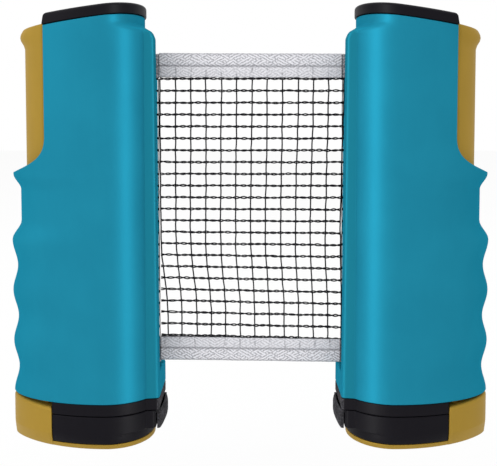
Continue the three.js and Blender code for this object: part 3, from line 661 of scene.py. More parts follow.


# The teal's snout sides are darkened by painted shade in the darker tone.
teal_plastic = satin_plastic(
    "teal_satin_plastic", colour(33, 136, 163), colour(31, 131, 158), 0.46, snout_shade_tone=colour(29, 124, 146),
    Specular_IOR_Level=0.0, Specular_Tint=(0.1, 0.7, 0.9, 1.0), Metallic=0.22,
)

shell_screw_places = [
    (-22.3, spur_height + 9), (-22.3, net_top - 8), (14, housing_bottom + 4.5), (-13.2, housing_bottom + 4.5),
]
well_radius, well_floor, boss_radius = 2.9, 9.5, 3.9
crease_angle = math.radians(36)


def housing_shell(side, is_rear):
    places, faces = shell_sheet(is_rear)
    facing = 1 if is_rear else -1
    outer = [(x, facing * y, z) for (x, y), z in ((shell_form(s, z, is_rear), z) for s, z in places)]
    inner = [
        (x, facing * y, z)
        for (x, y), z in ((shell_form(s, z, is_rear, shell_wall), z) for s, z in places)
    ]
    a, b, c = (Vector(outer[faces[0][k]]) for k in (0, 1, -1))
    if (b - a).cross(c - a).y * facing < 0:
        faces = [list(reversed(face)) for face in faces]
    points, wall_faces = walled(outer, inner, faces, rim_radius)
    name = f"{side}_{'rear' if is_rear else 'front'}_shell"
    shell = piece_mesh(name, side, points, wall_faces)
    if is_rear:
        wall_middle = {-22.3: 18.6, 14: 16.6, -13.2: 20.9}
        posts = [
            loft([ring_points(x, y, z, boss_radius, 32) for y in (0.3, wall_middle[x])])
            for x, z in shell_screw_places
        ]
        cut_from(shell, side, posts, "UNION")
        wells = [
            loft([ring_points(x, y, z, well_radius, 32) for y in (well_floor, drum_depth + 3)])
            for x, z in shell_screw_places
        ]
        cut_from(shell, side, wells)
    shell.data.materials.clear()
    shell.data.materials.append(teal_plastic)
    shell.data.set_sharp_from_angle(angle=crease_angle)
    even_shading(shell)
    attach(shell, f"{side}_post")
    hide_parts(f"{side}_housing_{'rear' if is_rear else 'front'}")


for side in TOWARDS_NET:
    for is_rear in (False, True):
        housing_shell(side, is_rear)

# ---- Housing screws ----------------------------------------------------------------------------------------
# Steel self-tapping screws with a pan head and a cross recess, sunk in round wells in the rear shell and
# driven through its bosses into the front shell's.


def modifier_tree(name, inputs):
    """A geometry tree with named inputs, and the wires that leave its input node."""
    tree = bpy.data.node_groups.new(name, "GeometryNodeTree")
    tree.interface.new_socket("Geometry", in_out="INPUT", socket_type="NodeSocketGeometry")
    tree.interface.new_socket("Geometry", in_out="OUTPUT", socket_type="NodeSocketGeometry")
    for title, value in inputs.items():
        kind = "Vector" if isinstance(value, tuple) else "Int" if isinstance(value, int) else "Float"
        item = tree.interface.new_socket(title, in_out="INPUT", socket_type=f"NodeSocket{kind}")
        item.default_value = value
    start = tree.nodes.new("NodeGroupInput")
    return tree, {output.name: Wire(tree, output) for output in start.outputs if output.name}


def end_tree(geometry, material):
    """Ends a geometry tree in plain mesh with its material."""
    real = geometry.node("GeometryNodeRealizeInstances", None, {"Geometry": geometry})
    dressed = real.node("GeometryNodeSetMaterial", None, {"Geometry": real, "Material": material})
    smooth_faces = dressed.node("GeometryNodeSetShadeSmooth", None, {0: dressed})
    output = geometry.tree.nodes.new("NodeGroupOutput")
    geometry.tree.links.new(smooth_faces.socket, output.inputs[0])


def grown(name, tree, values, places=()):
    """A plain mesh grown by a geometry tree, from points that it starts on."""
    mesh = bpy.data.meshes.new(name)
    mesh.from_pydata([tuple(place) for place in places], [], [])
    piece = bpy.data.objects.new(name, mesh)
    bpy.context.collection.objects.link(piece)
    grower = piece.modifiers.new("grower", "NODES")
    grower.node_group = tree
    sockets = {item.name: item.identifier for item in tree.interface.items_tree if item.in_out == "INPUT"}
    for title, value in values.items():
        grower[sockets[title]] = value
    return settled(piece)


def in_frame(side, x, y, z):
    """A place in a post's own millimetres, in the frame's metres."""
    return Vector((spool_axis[side] + TOWARDS_NET[side] * x, y, z)) * MILLIMETRE


def steel_finish(name, tone, roughness):
    material, wire = new_finish(name)
    place, _ = place_of(wire)
    scratches = noise_on(place, 0.6, 3.0, 0.6, (1, 1, 0.2))
    base = scratches.step(0.35, 0.7).blend(tuple(c * 0.86 for c in tone[:3]) + (1.0,), tone)
    return finish_with(material, base, scratches * 0.12 + (roughness - 0.06), scratches, 0.003, Metallic=1.0)


screw_steel = steel_finish("zinc_plated_steel", colour(196, 197, 200), 0.34)


def cross_head_screw():
    """Screws whose head tops sit on the starting points, heads up before they are turned."""
    tree, given = modifier_tree("cross head screw", {
        "Head radius": 0.0026, "Head height": 0.0018, "Shank radius": 0.00105, "Shank length": 0.017,
        "Recess width": 0.0006, "Recess reach": 0.0032, "Recess depth": 0.001, "Turn": (0.0, 0.0, 0.0),
    })
    start = given["Geometry"]
    cone = start.node("GeometryNodeMeshCone", None, {
        "Vertices": 28, "Side Segments": 3, "Radius Top": given["Head radius"] * 0.8,
        "Radius Bottom": given["Head radius"], "Depth": given["Head height"],
    })
    low = start.node("ShaderNodeCombineXYZ", None, {2: given["Head height"] * -1.0})
    head = start.node("GeometryNodeTransform", None, {"Geometry": cone, "Translation": low})
    bars = []
    for sizes in (("Recess reach", "Recess width"), ("Recess width", "Recess reach")):
        size = start.node("ShaderNodeCombineXYZ", None, {
            0: given[sizes[0]], 1: given[sizes[1]], 2: given["Recess depth"] * 2.0,
        })
        bars.append(start.node("GeometryNodeMeshCube", None, {"Size": size}))
    recessed = start.node(
        "GeometryNodeMeshBoolean", {"operation": "DIFFERENCE", "solver": "EXACT"}, {0: head, 1: bars},
    )
    shank = start.node("GeometryNodeMeshCylinder", None, {
        "Vertices": 16, "Radius": given["Shank radius"], "Depth": given["Shank length"],
    })
    depth = given["Head height"] * -0.98 - given["Shank length"] * 0.5
    hung = start.node("GeometryNodeTransform", None, {
        "Geometry": shank, "Translation": start.node("ShaderNodeCombineXYZ", None, {2: depth}),
    })
    screw = start.node("GeometryNodeJoinGeometry", None, {0: [recessed, hung]})
    end_tree(start.node("GeometryNodeInstanceOnPoints", None, {
        "Points": start, "Instance": screw, "Rotation": given["Turn"],
    }), screw_steel)
    return tree


screw_tree = cross_head_screw()
screw_seat, screw_head_height, screw_tip = 9.8, 1.8, 7.5
for side in TOWARDS_NET:
    heads = [in_frame(side, x, screw_seat + screw_head_height, z) for x, z in shell_screw_places]
    screws = grown(f"{side}_shell_screws", screw_tree, {
        "Head height": screw_head_height * MILLIMETRE,
        "Shank length": (screw_seat + screw_tip) * MILLIMETRE,
        "Turn": (-math.pi / 2, 0.4, 0.0),
    }, heads)
    even_shading(screws)
    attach(screws, f"{side}_post")
    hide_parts(*[f"{side}_housing_screw_{i + 1}" for i in range(len(heads))])

# ---- Top cap -----------------------------------------------------------------------------------------------
# A black moulded cap closes each housing along its sloping top. It stands proud on the net side, ends
# bluntly over the thumb slot, and holds the spool's axle and the recoil spring's arbor underneath.

cap_thickness, cap_overhang, cap_round = 5.2, 0.4, 1.5
cap_end_reach, cap_end_lean = 27.2, 1.0
cap_seam = 0.3


def mirrored(half):
    """Closes half a ring, from y > 0, with its mirror image."""
    back = [(x, -y) for x, y in reversed(half)]
    if abs(half[-1][1]) < 1e-6:
        back = back[1:]
    if abs(half[0][1]) < 1e-6:
        back = back[:-1]
    return list(half) + back


def net_side_half(cut, grip, nose, inset, roundness=0.0, fullness=grip_fullness, end_columns=6):
    """Half a plan from the line x = cut to the nose."""
    first = plan_share(grip, cut)
    shares = steps(first, 1, 18)[:-1] + steps(1, 2, 16)[:-1]
    shares += steps(2, 2.5, 16)[:-1] + steps(2.5, 3, end_columns)
    return [plan(s, grip, nose, inset, fullness, roundness) for s in shares]


def cap_ring(inset, rise):
    cut = -cap_end_reach + cap_end_lean * rise / cap_thickness + inset
    half = net_side_half(
        cut, grip_reach + finger_depth - inset, neck_reach + cap_overhang - inset, inset, 1.0,
    )
    return [(x, y, top_at(x) + rise) for x, y in mirrored(half)]


def joined(name, side, solids):
    """One piece of several closed solids in a post's own millimetres."""
    points, faces = [], []
    for solid_points, solid_faces in solids:
        part = piece_mesh("part", side, solid_points, solid_faces)
        faces += [[len(points) + v for v in face.vertices] for face in part.data.polygons]
        points += [v.co.copy() for v in part.data.vertices]
        mesh = part.data
        bpy.data.objects.remove(part)
        bpy.data.meshes.remove(mesh)
    mesh = bpy.data.meshes.new(name)
    mesh.from_pydata(points, [], faces)
    mesh.shade_smooth()
    piece = bpy.data.objects.new(name, mesh)
    bpy.context.collection.objects.link(piece)
    return piece


def rounded_levels(radius, count=5):
    """Pairs of (inset, drop below the edge) round a quarter circle."""
    turns = steps(0, math.pi / 2, count)
    return [(radius * (1 - math.cos(turn)), radius * (1 - math.sin(turn))) for turn in turns]


def soften(piece, width, angle=32, segments=2):
    """A small round on the sharp edges, and shading that leaves the flats flat."""
    rounding = piece.modifiers.new("rounding", "BEVEL")
    rounding.width = width * MILLIMETRE
    rounding.segments = segments
    rounding.limit_method = "ANGLE"
    rounding.angle_limit = math.radians(angle)
    rounding.harden_normals = False
    even_shading(piece)


def finish_piece(piece, material, body, slot, *nodes):
    piece.data.materials.clear()
    piece.data.materials.append(material)
    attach(piece, body)
    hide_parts(*nodes)


black_plastic = satin_plastic(
    "black_moulded_plastic", colour(20, 18, 24), colour(16, 14, 20), 0.46, 0.008, Specular_IOR_Level=0.08,
)

plug_inset, plug_drop = 2.8, 3.0
for side in TOWARDS_NET:
    rings = [cap_ring(0.2, cap_seam), cap_ring(0, cap_seam + 0.2)]
    rings += [cap_ring(inset, cap_thickness - drop) for inset, drop in rounded_levels(cap_round)]
    plug_half = net_side_half(-26.5, 39.7, neck_reach - plug_inset, plug_inset, 1.0)
    plug = [[(x, y, top_at(x) + rise) for x, y in mirrored(plug_half)] for rise in (-plug_drop, 0.8)]
    arbor_top = span(f"{side}_spring_arbor", 2)[1]
    boss = [ring_points(0, 0, z, 6.0, 28, "z") for z in (arbor_top + 0.3, top_height + 1)]
    cap = joined(f"{side}_cap", side, [loft(rings), loft(plug), loft(boss)])
    soften(cap, 0.25)
    finish_piece(cap, black_plastic, f"{side}_post", "black_plastic", f"{side}_top_cap")

# ---- Upper jaw ---------------------------------------------------------------------------------------------
# The fixed upper jaw is a black plate under the housing, with a thin rubber pad let into its underside. Its
# end under the snout is ribbed upright, and rubbed grey.

jaw_cut = -24.5
upper_jaw_low, upper_jaw_high = span("left_upper_jaw", 2)
upper_pad_inset = 2.6
end_rib_pitch, end_rib_depth = 1.15, 0.3


def ribbed(half, nose, pitch, depth):
    """Draws upright ribs into the flat end of half a plan."""
    ribs = []
    for x, y in half:
        is_end = x > nose - 0.01
        wave = 0.5 - 0.5 * math.cos(2 * math.pi * y / pitch)
        ribs.append((x - depth * wave * smooth(0, 0.6, window_half_width + 0.4 - y) if is_end else x, y))
    return ribs


def upper_jaw_ring(inset, z):
    nose = snout_reach - inset
    half = net_side_half(
        jaw_cut + inset * 0.3, grip_reach + finger_depth - inset, nose, inset, end_columns=72,
    )
    return [(x, y, z) for x, y in mirrored(ribbed(half, nose, end_rib_pitch, end_rib_depth))]


def rubbed_rubber():
    """Black rubber, rubbed grey in a fine mottle, with a broader bloom."""
    material, wire = new_finish("ribbed_grip_rubber")
    place, _ = place_of(wire)
    mottle = noise_on(place, 0.9, 3.0, 0.65)
    grain = noise_on(place, 0.3, 2.0)
    bloom = noise_on(place, 3.5, 2.0)
    base = (mottle * 0.65 + bloom * 0.35).step(0.4, 0.68).blend(colour(27, 26, 30), colour(78, 76, 82))
    return finish_with(material, base, mottle * 0.2 + 0.6, grain + mottle, 0.05, Specular_IOR_Level=0.2)


grip_rubber = rubbed_rubber()
for side in TOWARDS_NET:
    rings = [
        upper_jaw_ring(0.8, upper_jaw_low), upper_jaw_ring(0.4, upper_jaw_low + 0.25),
        upper_jaw_ring(0.25, upper_jaw_low + 0.7), upper_jaw_ring(0.25, upper_jaw_high - 0.4),
        upper_jaw_ring(0.45, upper_jaw_high),
    ]
    jaw = piece_mesh(f"{side}_upper_jaw_plate", side, *loft(rings))
    bed_half = net_side_half(jaw_cut + 2.3, grip_reach - 1.1, snout_reach - 2.3, 2.3)
    bed = [[(x, y, z) for x, y in mirrored(bed_half)] for z in (upper_jaw_low - 1, upper_jaw_low + 1.4)]
    cut_from(jaw, side, [loft(bed)])
    soften(jaw, 0.15)
    jaw.data.materials.clear()
    jaw.data.materials.append(black_plastic)
    jaw.data.materials.append(grip_rubber)
    end_line = (spool_axis[side] + TOWARDS_NET[side] * (snout_reach - 1.2)) * MILLIMETRE
    for face in jaw.data.polygons:
        if (face.center.x - end_line) * TOWARDS_NET[side] > 0:
            face.material_index = 1
    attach(jaw, f"{side}_post")
    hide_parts(f"{side}_upper_jaw")
    pad_half = net_side_half(jaw_cut + 2.6, grip_reach - 1.4, snout_reach - 2.6, upper_pad_inset)
    pad_rings = [[(x, y, z) for x, y in mirrored(pad_half)] for z in (upper_jaw_low, upper_jaw_low + 1.1)]
    pad = piece_mesh(f"{side}_upper_jaw_rubber", side, *loft(pad_rings))
    soften(pad, 0.2)
    finish_piece(pad, grip_rubber, f"{side}_post", "grip_rubber", f"{side}_upper_jaw_pad")

# ---- Jaw slider --------------------------------------------------------------------------------------------
# The yellow slider is one moulding: a foot plate under the lower jaw, a thick block at the grip end and a bar
# that runs up inside the grip to the thumb lip. Pushing the lip down opens the jaw against the clamp spring.

throat = -24.8
block_height, block_fall, block_round = 20.4, 2.0, 1.7
foot_round_height, foot_inset, foot_tip_inset, foot_fullness = 7.0, 1.9, 0.5, 1.6
plate_thickness = 2.4
lower_nose = 19.9
bar_inner, bar_reach, bar_depth, bar_half_width = -27.1, 39.4, 19.7, 12.6
lip_reach, lip_depth, lip_slope = 41.6, 9.3, 0.13
lip_height = top_height - 2.1
lip_flare = [(0, 0), (0.2, 0.23), (0.44, 0.82), (0.6, 1), (0.76, 0.9), (1, 0.3)]


def jaw_shape(z, inset):
    """Grip, inset and fullness of the lower jaw's plan: it draws in towards the floor."""
    share = 1 - min(z / foot_round_height, 1)
    return (
        grip_reach + finger_depth - inset - foot_tip_inset * share ** 2,
        inset + foot_inset * share ** 2,
        mix(grip_fullness, foot_fullness, share),
    )


def block_ring(inset, z, drop=None):
    grip, side_inset, fullness = jaw_shape(z, inset)
    cut = plan_share(grip, throat - inset * 0.4)
    half = [plan(s, grip, 0, side_inset, fullness) for s in steps(cut, 0, 40)]
    ring = []
    for x, y in mirrored(half):
        top = block_height - block_fall * (x + grip_reach) / (grip_reach + throat)
        ring.append((x, y, z if drop is None else top - drop))
    return ring


def plate_ring(inset, z):
    grip, side_inset, fullness = jaw_shape(z, inset)
    shares = steps(0, 1, 30)[:-1] + steps(1, 2, 16)[:-1] + steps(2, 3, 16)
    half = [plan(s, grip, lower_nose - inset, side_inset, fullness, 1.0) for s in shares]
    return [(x, y, z) for x, y in mirrored(half)]


def flare_at(share):
    for (low, a), (high, b) in zip(lip_flare, lip_flare[1:]):
        if low <= share <= high:
            return mix(a, b, (share - low) / (high - low))
    return 0


def bar_ring(reach, inset, z, share=None):
    """The bar's plan, a rounded back between flat sides. With a share it follows the lip's slope."""
    back_end = math.asin((bar_half_width / bar_depth) ** (1 / grip_fullness))
    half = []
    for turn in steps(0, back_end, 20):
        half.append((-bar_reach * math.cos(turn), bar_depth * math.sin(turn) ** grip_fullness))
    half.append((bar_inner - 0.4, bar_half_width))
    half.append((bar_inner, bar_half_width - 0.4))
    stretch = (reach + bar_inner - inset) / (bar_reach + bar_inner)
    ring = []
    for x, y in mirrored(half):
        x = bar_inner + (x - bar_inner) * stretch
        y *= 1 - inset / bar_half_width
        if share is not None:
            top = lip_height - lip_slope * (-slot_edge - x)
            z = mix(lip_height - lip_depth - 1.5, top, share)
            if z > lip_height - 4 and x > bar_inner - 0.9:
                x = bar_inner - 0.6
        ring.append((x, y, z))
    return ring


yellow_plastic = satin_plastic(
    "yellow_moulded_plastic", colour(172, 139, 56), colour(165, 133, 53), 0.44, 0.008,
    Specular_IOR_Level=0.1, Specular_Tint=(1.0, 0.8, 0.3, 1.0), Metallic=0.1,
)

for side in TOWARDS_NET:
    block = [block_ring(0.4, 0), block_ring(0.12, 0.25), block_ring(0, 0.6)]
    block += [block_ring(0, z) for z in steps(1.2, foot_round_height, 9)] + [block_ring(0, block_height - 5)]
    block += [block_ring(inset, block_height, drop) for inset, drop in rounded_levels(block_round)]
    plate = [plate_ring(0.6, 0), plate_ring(0.3, 0.2)]
    plate += [plate_ring(0.2, z) for z in steps(0.6, plate_thickness - 0.2, 4)]
    plate.append(plate_ring(0.35, plate_thickness))
    bar = [bar_ring(bar_reach, 0, 1.0), bar_ring(bar_reach, 0, lip_height - lip_depth - 3)]
    bar += [
        bar_ring(mix(bar_reach, lip_reach, flare_at(share)), 0.35 if share == 1 else 0, 0, share)
        for share in steps(0, 1, 18)
    ]
    shelf_low, shelf_high = spur_height - 13, spur_height - 9
    shelf = [ring_points(-20.9, 0, z, 3.5, 28, "z") for z in (shelf_low, shelf_high)]
    spigot = [ring_points(-20.9, 0, z, 1.9, 20, "z") for z in (shelf_low - 4, shelf_low + 1)]
    link = [[(x, y, z) for x, y in ((-28.5, -3.4), (-21, -3.4), (-21, 3.4), (-28.5, 3.4))]
            for z in (shelf_low, shelf_high)]
    plate_solid = piece_mesh(f"{side}_foot_plate", side, *loft(plate))
    holes = [loft([ring_points(x, 0, z, 2.9, 32, "z") for z in (-1, 1.5)]) for x in (-12, 9)]
    cut_from(plate_solid, side, holes)
    soften(plate_solid, 0.12)
    finish_piece(plate_solid, yellow_plastic, f"{side}_clamp", "yellow_plastic", f"{side}_jaw_slider")
    slider = joined(
        f"{side}_thumb_slider", side, [loft(form) for form in (block, bar, shelf, spigot, link)],
    )
    soften(slider, 0.3)
    finish_piece(slider, yellow_plastic, f"{side}_clamp", "yellow_plastic", f"{side}_jaw_slider")

# ---- Lower jaw cover ---------------------------------------------------------------------------------------
# The black body of the moving jaw sits on the foot plate, screwed up from below. Its nose steps in under the
# folded rubber, and its top has a bed for the jaw pad.

cover_low, cover_high = span("left_lower_jaw_cover", 2)
jaw_step_height, shelf_nose = 6.6, 21.8
pad_half_width, pad_thickness = 11.2, 1.9


def cover_ring(inset, z, is_shelf):
    grip, side_inset, fullness = jaw_shape(z, inset)
    nose = shelf_nose - inset * 0.5 if is_shelf else lower_nose - inset * 0.5
    half = net_side_half(jaw_cut, grip, nose, side_inset, 0.0 if is_shelf else 1.0, fullness)
    return [(x, y, z) for x, y in mirrored(half)]


for side in TOWARDS_NET:
    rings = [cover_ring(0.55, cover_low, False), cover_ring(0.4, cover_low + 0.2, False)]
    rings += [cover_ring(0.4, z, False) for z in steps(cover_low + 0.8, jaw_step_height, 4)]
    rings += [cover_ring(0.4, z, True) for z in steps(jaw_step_height + 0.6, cover_high - 0.6, 5)]
    rings += [cover_ring(0.5, cover_high - 0.3, True), cover_ring(0.8, cover_high, True)]
    cover = piece_mesh(f"{side}_lower_jaw", side, *loft(rings))
    bed_low = cover_high - pad_thickness - 0.3
    bed = [[(x, y, z) for x, y in (
        (jaw_cut + 2.5, -pad_half_width - 0.3), (24, -pad_half_width - 0.3),
        (24, pad_half_width + 0.3), (jaw_cut + 2.5, pad_half_width + 0.3))]
        for z in (bed_low, cover_high + 2)]
    cut_from(cover, side, [loft(bed)])
    soften(cover, 0.2)
    finish_piece(cover, black_plastic, f"{side}_clamp", "black_plastic", f"{side}_lower_jaw_cover")

# ---- Jaw pad and its screws --------------------------------------------------------------------------------
# A ribbed rubber pad lies in the lower jaw and folds down over its nose, where its ribs stand upright. Two
# screws through the foot plate hold the jaw together.

pad_reach, pad_crown = 25.6, 1.5
pad_rib_count, pad_rib_depth = 16, 0.7
fold_rib_count, fold_rib_depth = 15, 0.35


def pad_profile():
    """Side view of the ribbed sheet, as [x, z] from the underside round over the ribs."""
    start, end = jaw_cut + 2.8, pad_reach - 1.6
    low = cover_high - pad_thickness
    profile = [(start, low), (end, low), (end, cover_high)]
    ribs_end = shelf_nose - 2.5
    pitch = (ribs_end - start - 1) / pad_rib_count
    for i in range(pad_rib_count, 0, -1):
        left = start + 1 + (i - 1) * pitch
        profile += [(left + pitch, cover_high), (left + pitch * 0.78, cover_high - pad_rib_depth)]
        profile += [(left + pitch * 0.5, cover_high - pad_rib_depth), (left + pitch * 0.28, cover_high)]
    return profile + [(start, cover_high)]


def fold_ring(share, z):
    """The folded end: a flat back against the jaw and a crowned, ribbed face."""
    back = shelf_nose + 0.12
    face = []
    for y in steps(-pad_half_width, pad_half_width, fold_rib_count * 6):
        wave = 0.5 - 0.5 * math.cos(
            2 * math.pi * (y + pad_half_width) * fold_rib_count / (2 * pad_half_width)
        )
        bow = pad_reach - pad_crown * (y / pad_half_width) ** 2
        bow -= 0.5 * smooth(0.93, 1, abs(y) / pad_half_width)
        face.append((back + (bow - fold_rib_depth * (1 - wave) - back) * share, y))
    return [(x, y, z) for x, y in [(back, -pad_half_width)] + face + [(back, pad_half_width)]]


for side in TOWARDS_NET:
    sheet = loft([
        [(x, y, z) for x, z in pad_profile()] for y in (0.12 - pad_half_width, pad_half_width - 0.12)
    ])
    levels = [(0.62, jaw_step_height - 0.5), (0.74, jaw_step_height + 0.4), (0.93, jaw_step_height + 2)]
    levels += [(1, jaw_step_height + 3.4), (1, cover_high - 1.6)]
    levels += [(0.93, cover_high - 0.7), (0.75, cover_high - 0.15)]
    fold = loft([fold_ring(share, z) for share, z in levels] + [fold_ring(0.6, cover_high)])
    pad = joined(f"{side}_lower_jaw_rubber", side, [sheet, fold])
    soften(pad, 0.1)
    finish_piece(pad, grip_rubber, f"{side}_clamp", "grip_rubber", f"{side}_jaw_pad")
    heads = [in_frame(side, x, 0, 0.2) for x in (-12, 9)]
    screws = grown(f"{side}_foot_screws", screw_tree, {
        "Head height": 1.0 * MILLIMETRE, "Shank length": 9.0 * MILLIMETRE, "Recess depth": 0.6 * MILLIMETRE,
        "Turn": (math.pi, 0.0, 0.5),
    }, heads)
    even_shading(screws)
    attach(screws, f"{side}_clamp")
    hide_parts(f"{side}_jaw_screw_1", f"{side}_jaw_screw_2")

# ---- Springs -----------------------------------------------------------------------------------------------
# A wire compression spring inside the grip stands on the upper jaw and pushes the slider up, so that the jaws
# close. A flat spiral spring in the cup above the roll winds the net back in. Both are spring steel.

spring_steel = steel_finish("spring_steel_wire", colour(168, 170, 174), 0.3)
clamp_spring_axis, clamp_spring_radius, clamp_spring_wire, clamp_spring_turns = -20.9, 3.0, 1.1, 11.0


def coil_tree():
    """A helix or a flat spiral of wire or strip, standing on the starting point."""
    tree, given = modifier_tree("coiled spring", {
        "Turns": 9.0, "Start radius": 0.003, "End radius": 0.003, "Height": 0.08, "Steps per turn": 28,
        "Strip width": 0.001, "Strip height": 0.001, "Is strip": 0.0,
    })
    start = given["Geometry"]
    spiral = start.node("GeometryNodeCurveSpiral", None, {
        "Resolution": given["Steps per turn"], "Rotations": given["Turns"],
        "Start Radius": given["Start radius"],
        "End Radius": given["End radius"], "Height": given["Height"],
    })
    wire = start.node("GeometryNodeCurvePrimitiveCircle", None, {
        "Resolution": 10, "Radius": given["Strip width"] * 0.5,
    })
    strip = start.node("GeometryNodeCurvePrimitiveQuadrilateral", None, {
        "Width": given["Strip width"], "Height": given["Strip height"],
    })
    profile = start.node("GeometryNodeSwitch", {"input_type": "GEOMETRY"}, {
        "Switch": given["Is strip"], "False": wire, "True": strip,
    })
    coil = start.node("GeometryNodeCurveToMesh", None, {
        "Curve": spiral, "Profile Curve": profile, "Fill Caps": True,
    })
    end_tree(
        start.node("GeometryNodeInstanceOnPoints", None, {"Points": start, "Instance": coil}), spring_steel,
    )
    return tree


spring_tree = coil_tree()
for side in TOWARDS_NET:
    low, high = span(f"{side}_clamp_spring", 2)
    seat = in_frame(side, clamp_spring_axis, 0, low + clamp_spring_wire / 2)
    spring = grown(f"{side}_clamp_coil", spring_tree, {
        "Turns": clamp_spring_turns, "Height": (high - low - clamp_spring_wire) * MILLIMETRE,
        "Start radius": clamp_spring_radius * MILLIMETRE, "End radius": clamp_spring_radius * MILLIMETRE,
        "Strip width": clamp_spring_wire * MILLIMETRE,
    }, [seat])
    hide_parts(f"{side}_clamp_spring")
    in_frame(side, clamp_spring_axis, 0, low)
    in_frame(side, clamp_spring_axis, 0, high)
    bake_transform(spring)
    low, high = span(f"{side}_recoil_spring", 2)
    middle = in_frame(side, 0, 0, (low + high) / 2)
    recoil = grown(f"{side}_recoil_coil", spring_tree, {
        "Turns": 9.0, "Height": 0.0, "Start radius": 7.3 * MILLIMETRE, "End radius": 14.2 * MILLIMETRE,
        "Strip width": 0.35 * MILLIMETRE, "Strip height": (high - low) * MILLIMETRE, "Is strip": 1.0,
        "Steps per turn": 40,
    }, [middle])
    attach(recoil, f"{side}_post")
    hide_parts(f"{side}_recoil_spring")

# ---- Spool -------------------------------------------------------------------------------------------------
# Off-white moulded spool, cup, arbor and bushes on a steel axle, and the rod that guides the clamp spring.
# They are simple turned parts inside the housing, so the frame's own solids are dressed.

spool_plastic = satin_plastic("natural_spool_plastic", colour(217, 217, 211), colour(206, 206, 199), 0.5)


def dress(node, material):
    for slot in frame["nodes"][node].material_slots:
        slot.material = material


for side in TOWARDS_NET:
    for name in ("spool_core", "spring_cup", "spring_arbor", "lower_bush", "upper_bush"):
        dress(f"{side}_{name}", spool_plastic)
    for name in ("spool_axle", "spring_rod"):
        dress(f"{side}_{name}", screw_steel)

# ---- Net cords ---------------------------------------------------------------------------------------------
# The net is knotless black twine: level cords of two twisted plies, which open at each crossing to let a
# thinner upright strand through. Between the posts it hangs a little uneven.

net_left, net_right = span("net_mesh", 0)
tape_height = 11.6
mesh_low, mesh_high = net_bottom + tape_height, net_top - tape_height
net_columns, net_rows = 12, 22
net_pitch = (net_right - net_left) / net_columns
low_drift, high_drift, row_sag = 3.0, 1.4, 2.1


def twine_finish():
    """Black twine with paler worn fibres along its twist."""
    material, wire = new_finish("black_twine")
    place, _ = place_of(wire)
    fibre = noise_on(place, 0.16, 3.0, 0.6, (0.5, 1, 1))
    wear = noise_on(place, 2.6, 3.0, 0.6)
    base = (fibre * 0.55 + wear * 0.45).step(0.42, 0.72).blend(colour(22, 21, 25), colour(58, 57, 62))
    return finish_with(material, base, 0.85, fibre, 0.06, Specular_IOR_Level=0.15)


black_twine = twine_finish()


def vector(wire, x=0.0, y=0.0, z=0.0):
    return wire.node("ShaderNodeCombineXYZ", None, {0: x, 1: y, 2: z})


def parts_of(wire, place):
    made = wire.node("ShaderNodeSeparateXYZ", None, {0: place})
    node = made.socket.node
    return [Wire(wire.tree, output) for output in node.outputs]


def twine_noise(wire, along, across, size):
    """Noise from -1 to 1 that wanders along a cord with a length in metres, and differs from cord to cord."""
    where = vector(wire, along / size, across * 7.31, 0.5)
    found = wire.node("ShaderNodeTexNoise", None, {"Vector": where, "Scale": 1.0, "Detail": 1.0})
    return (found - 0.5) * 2.6


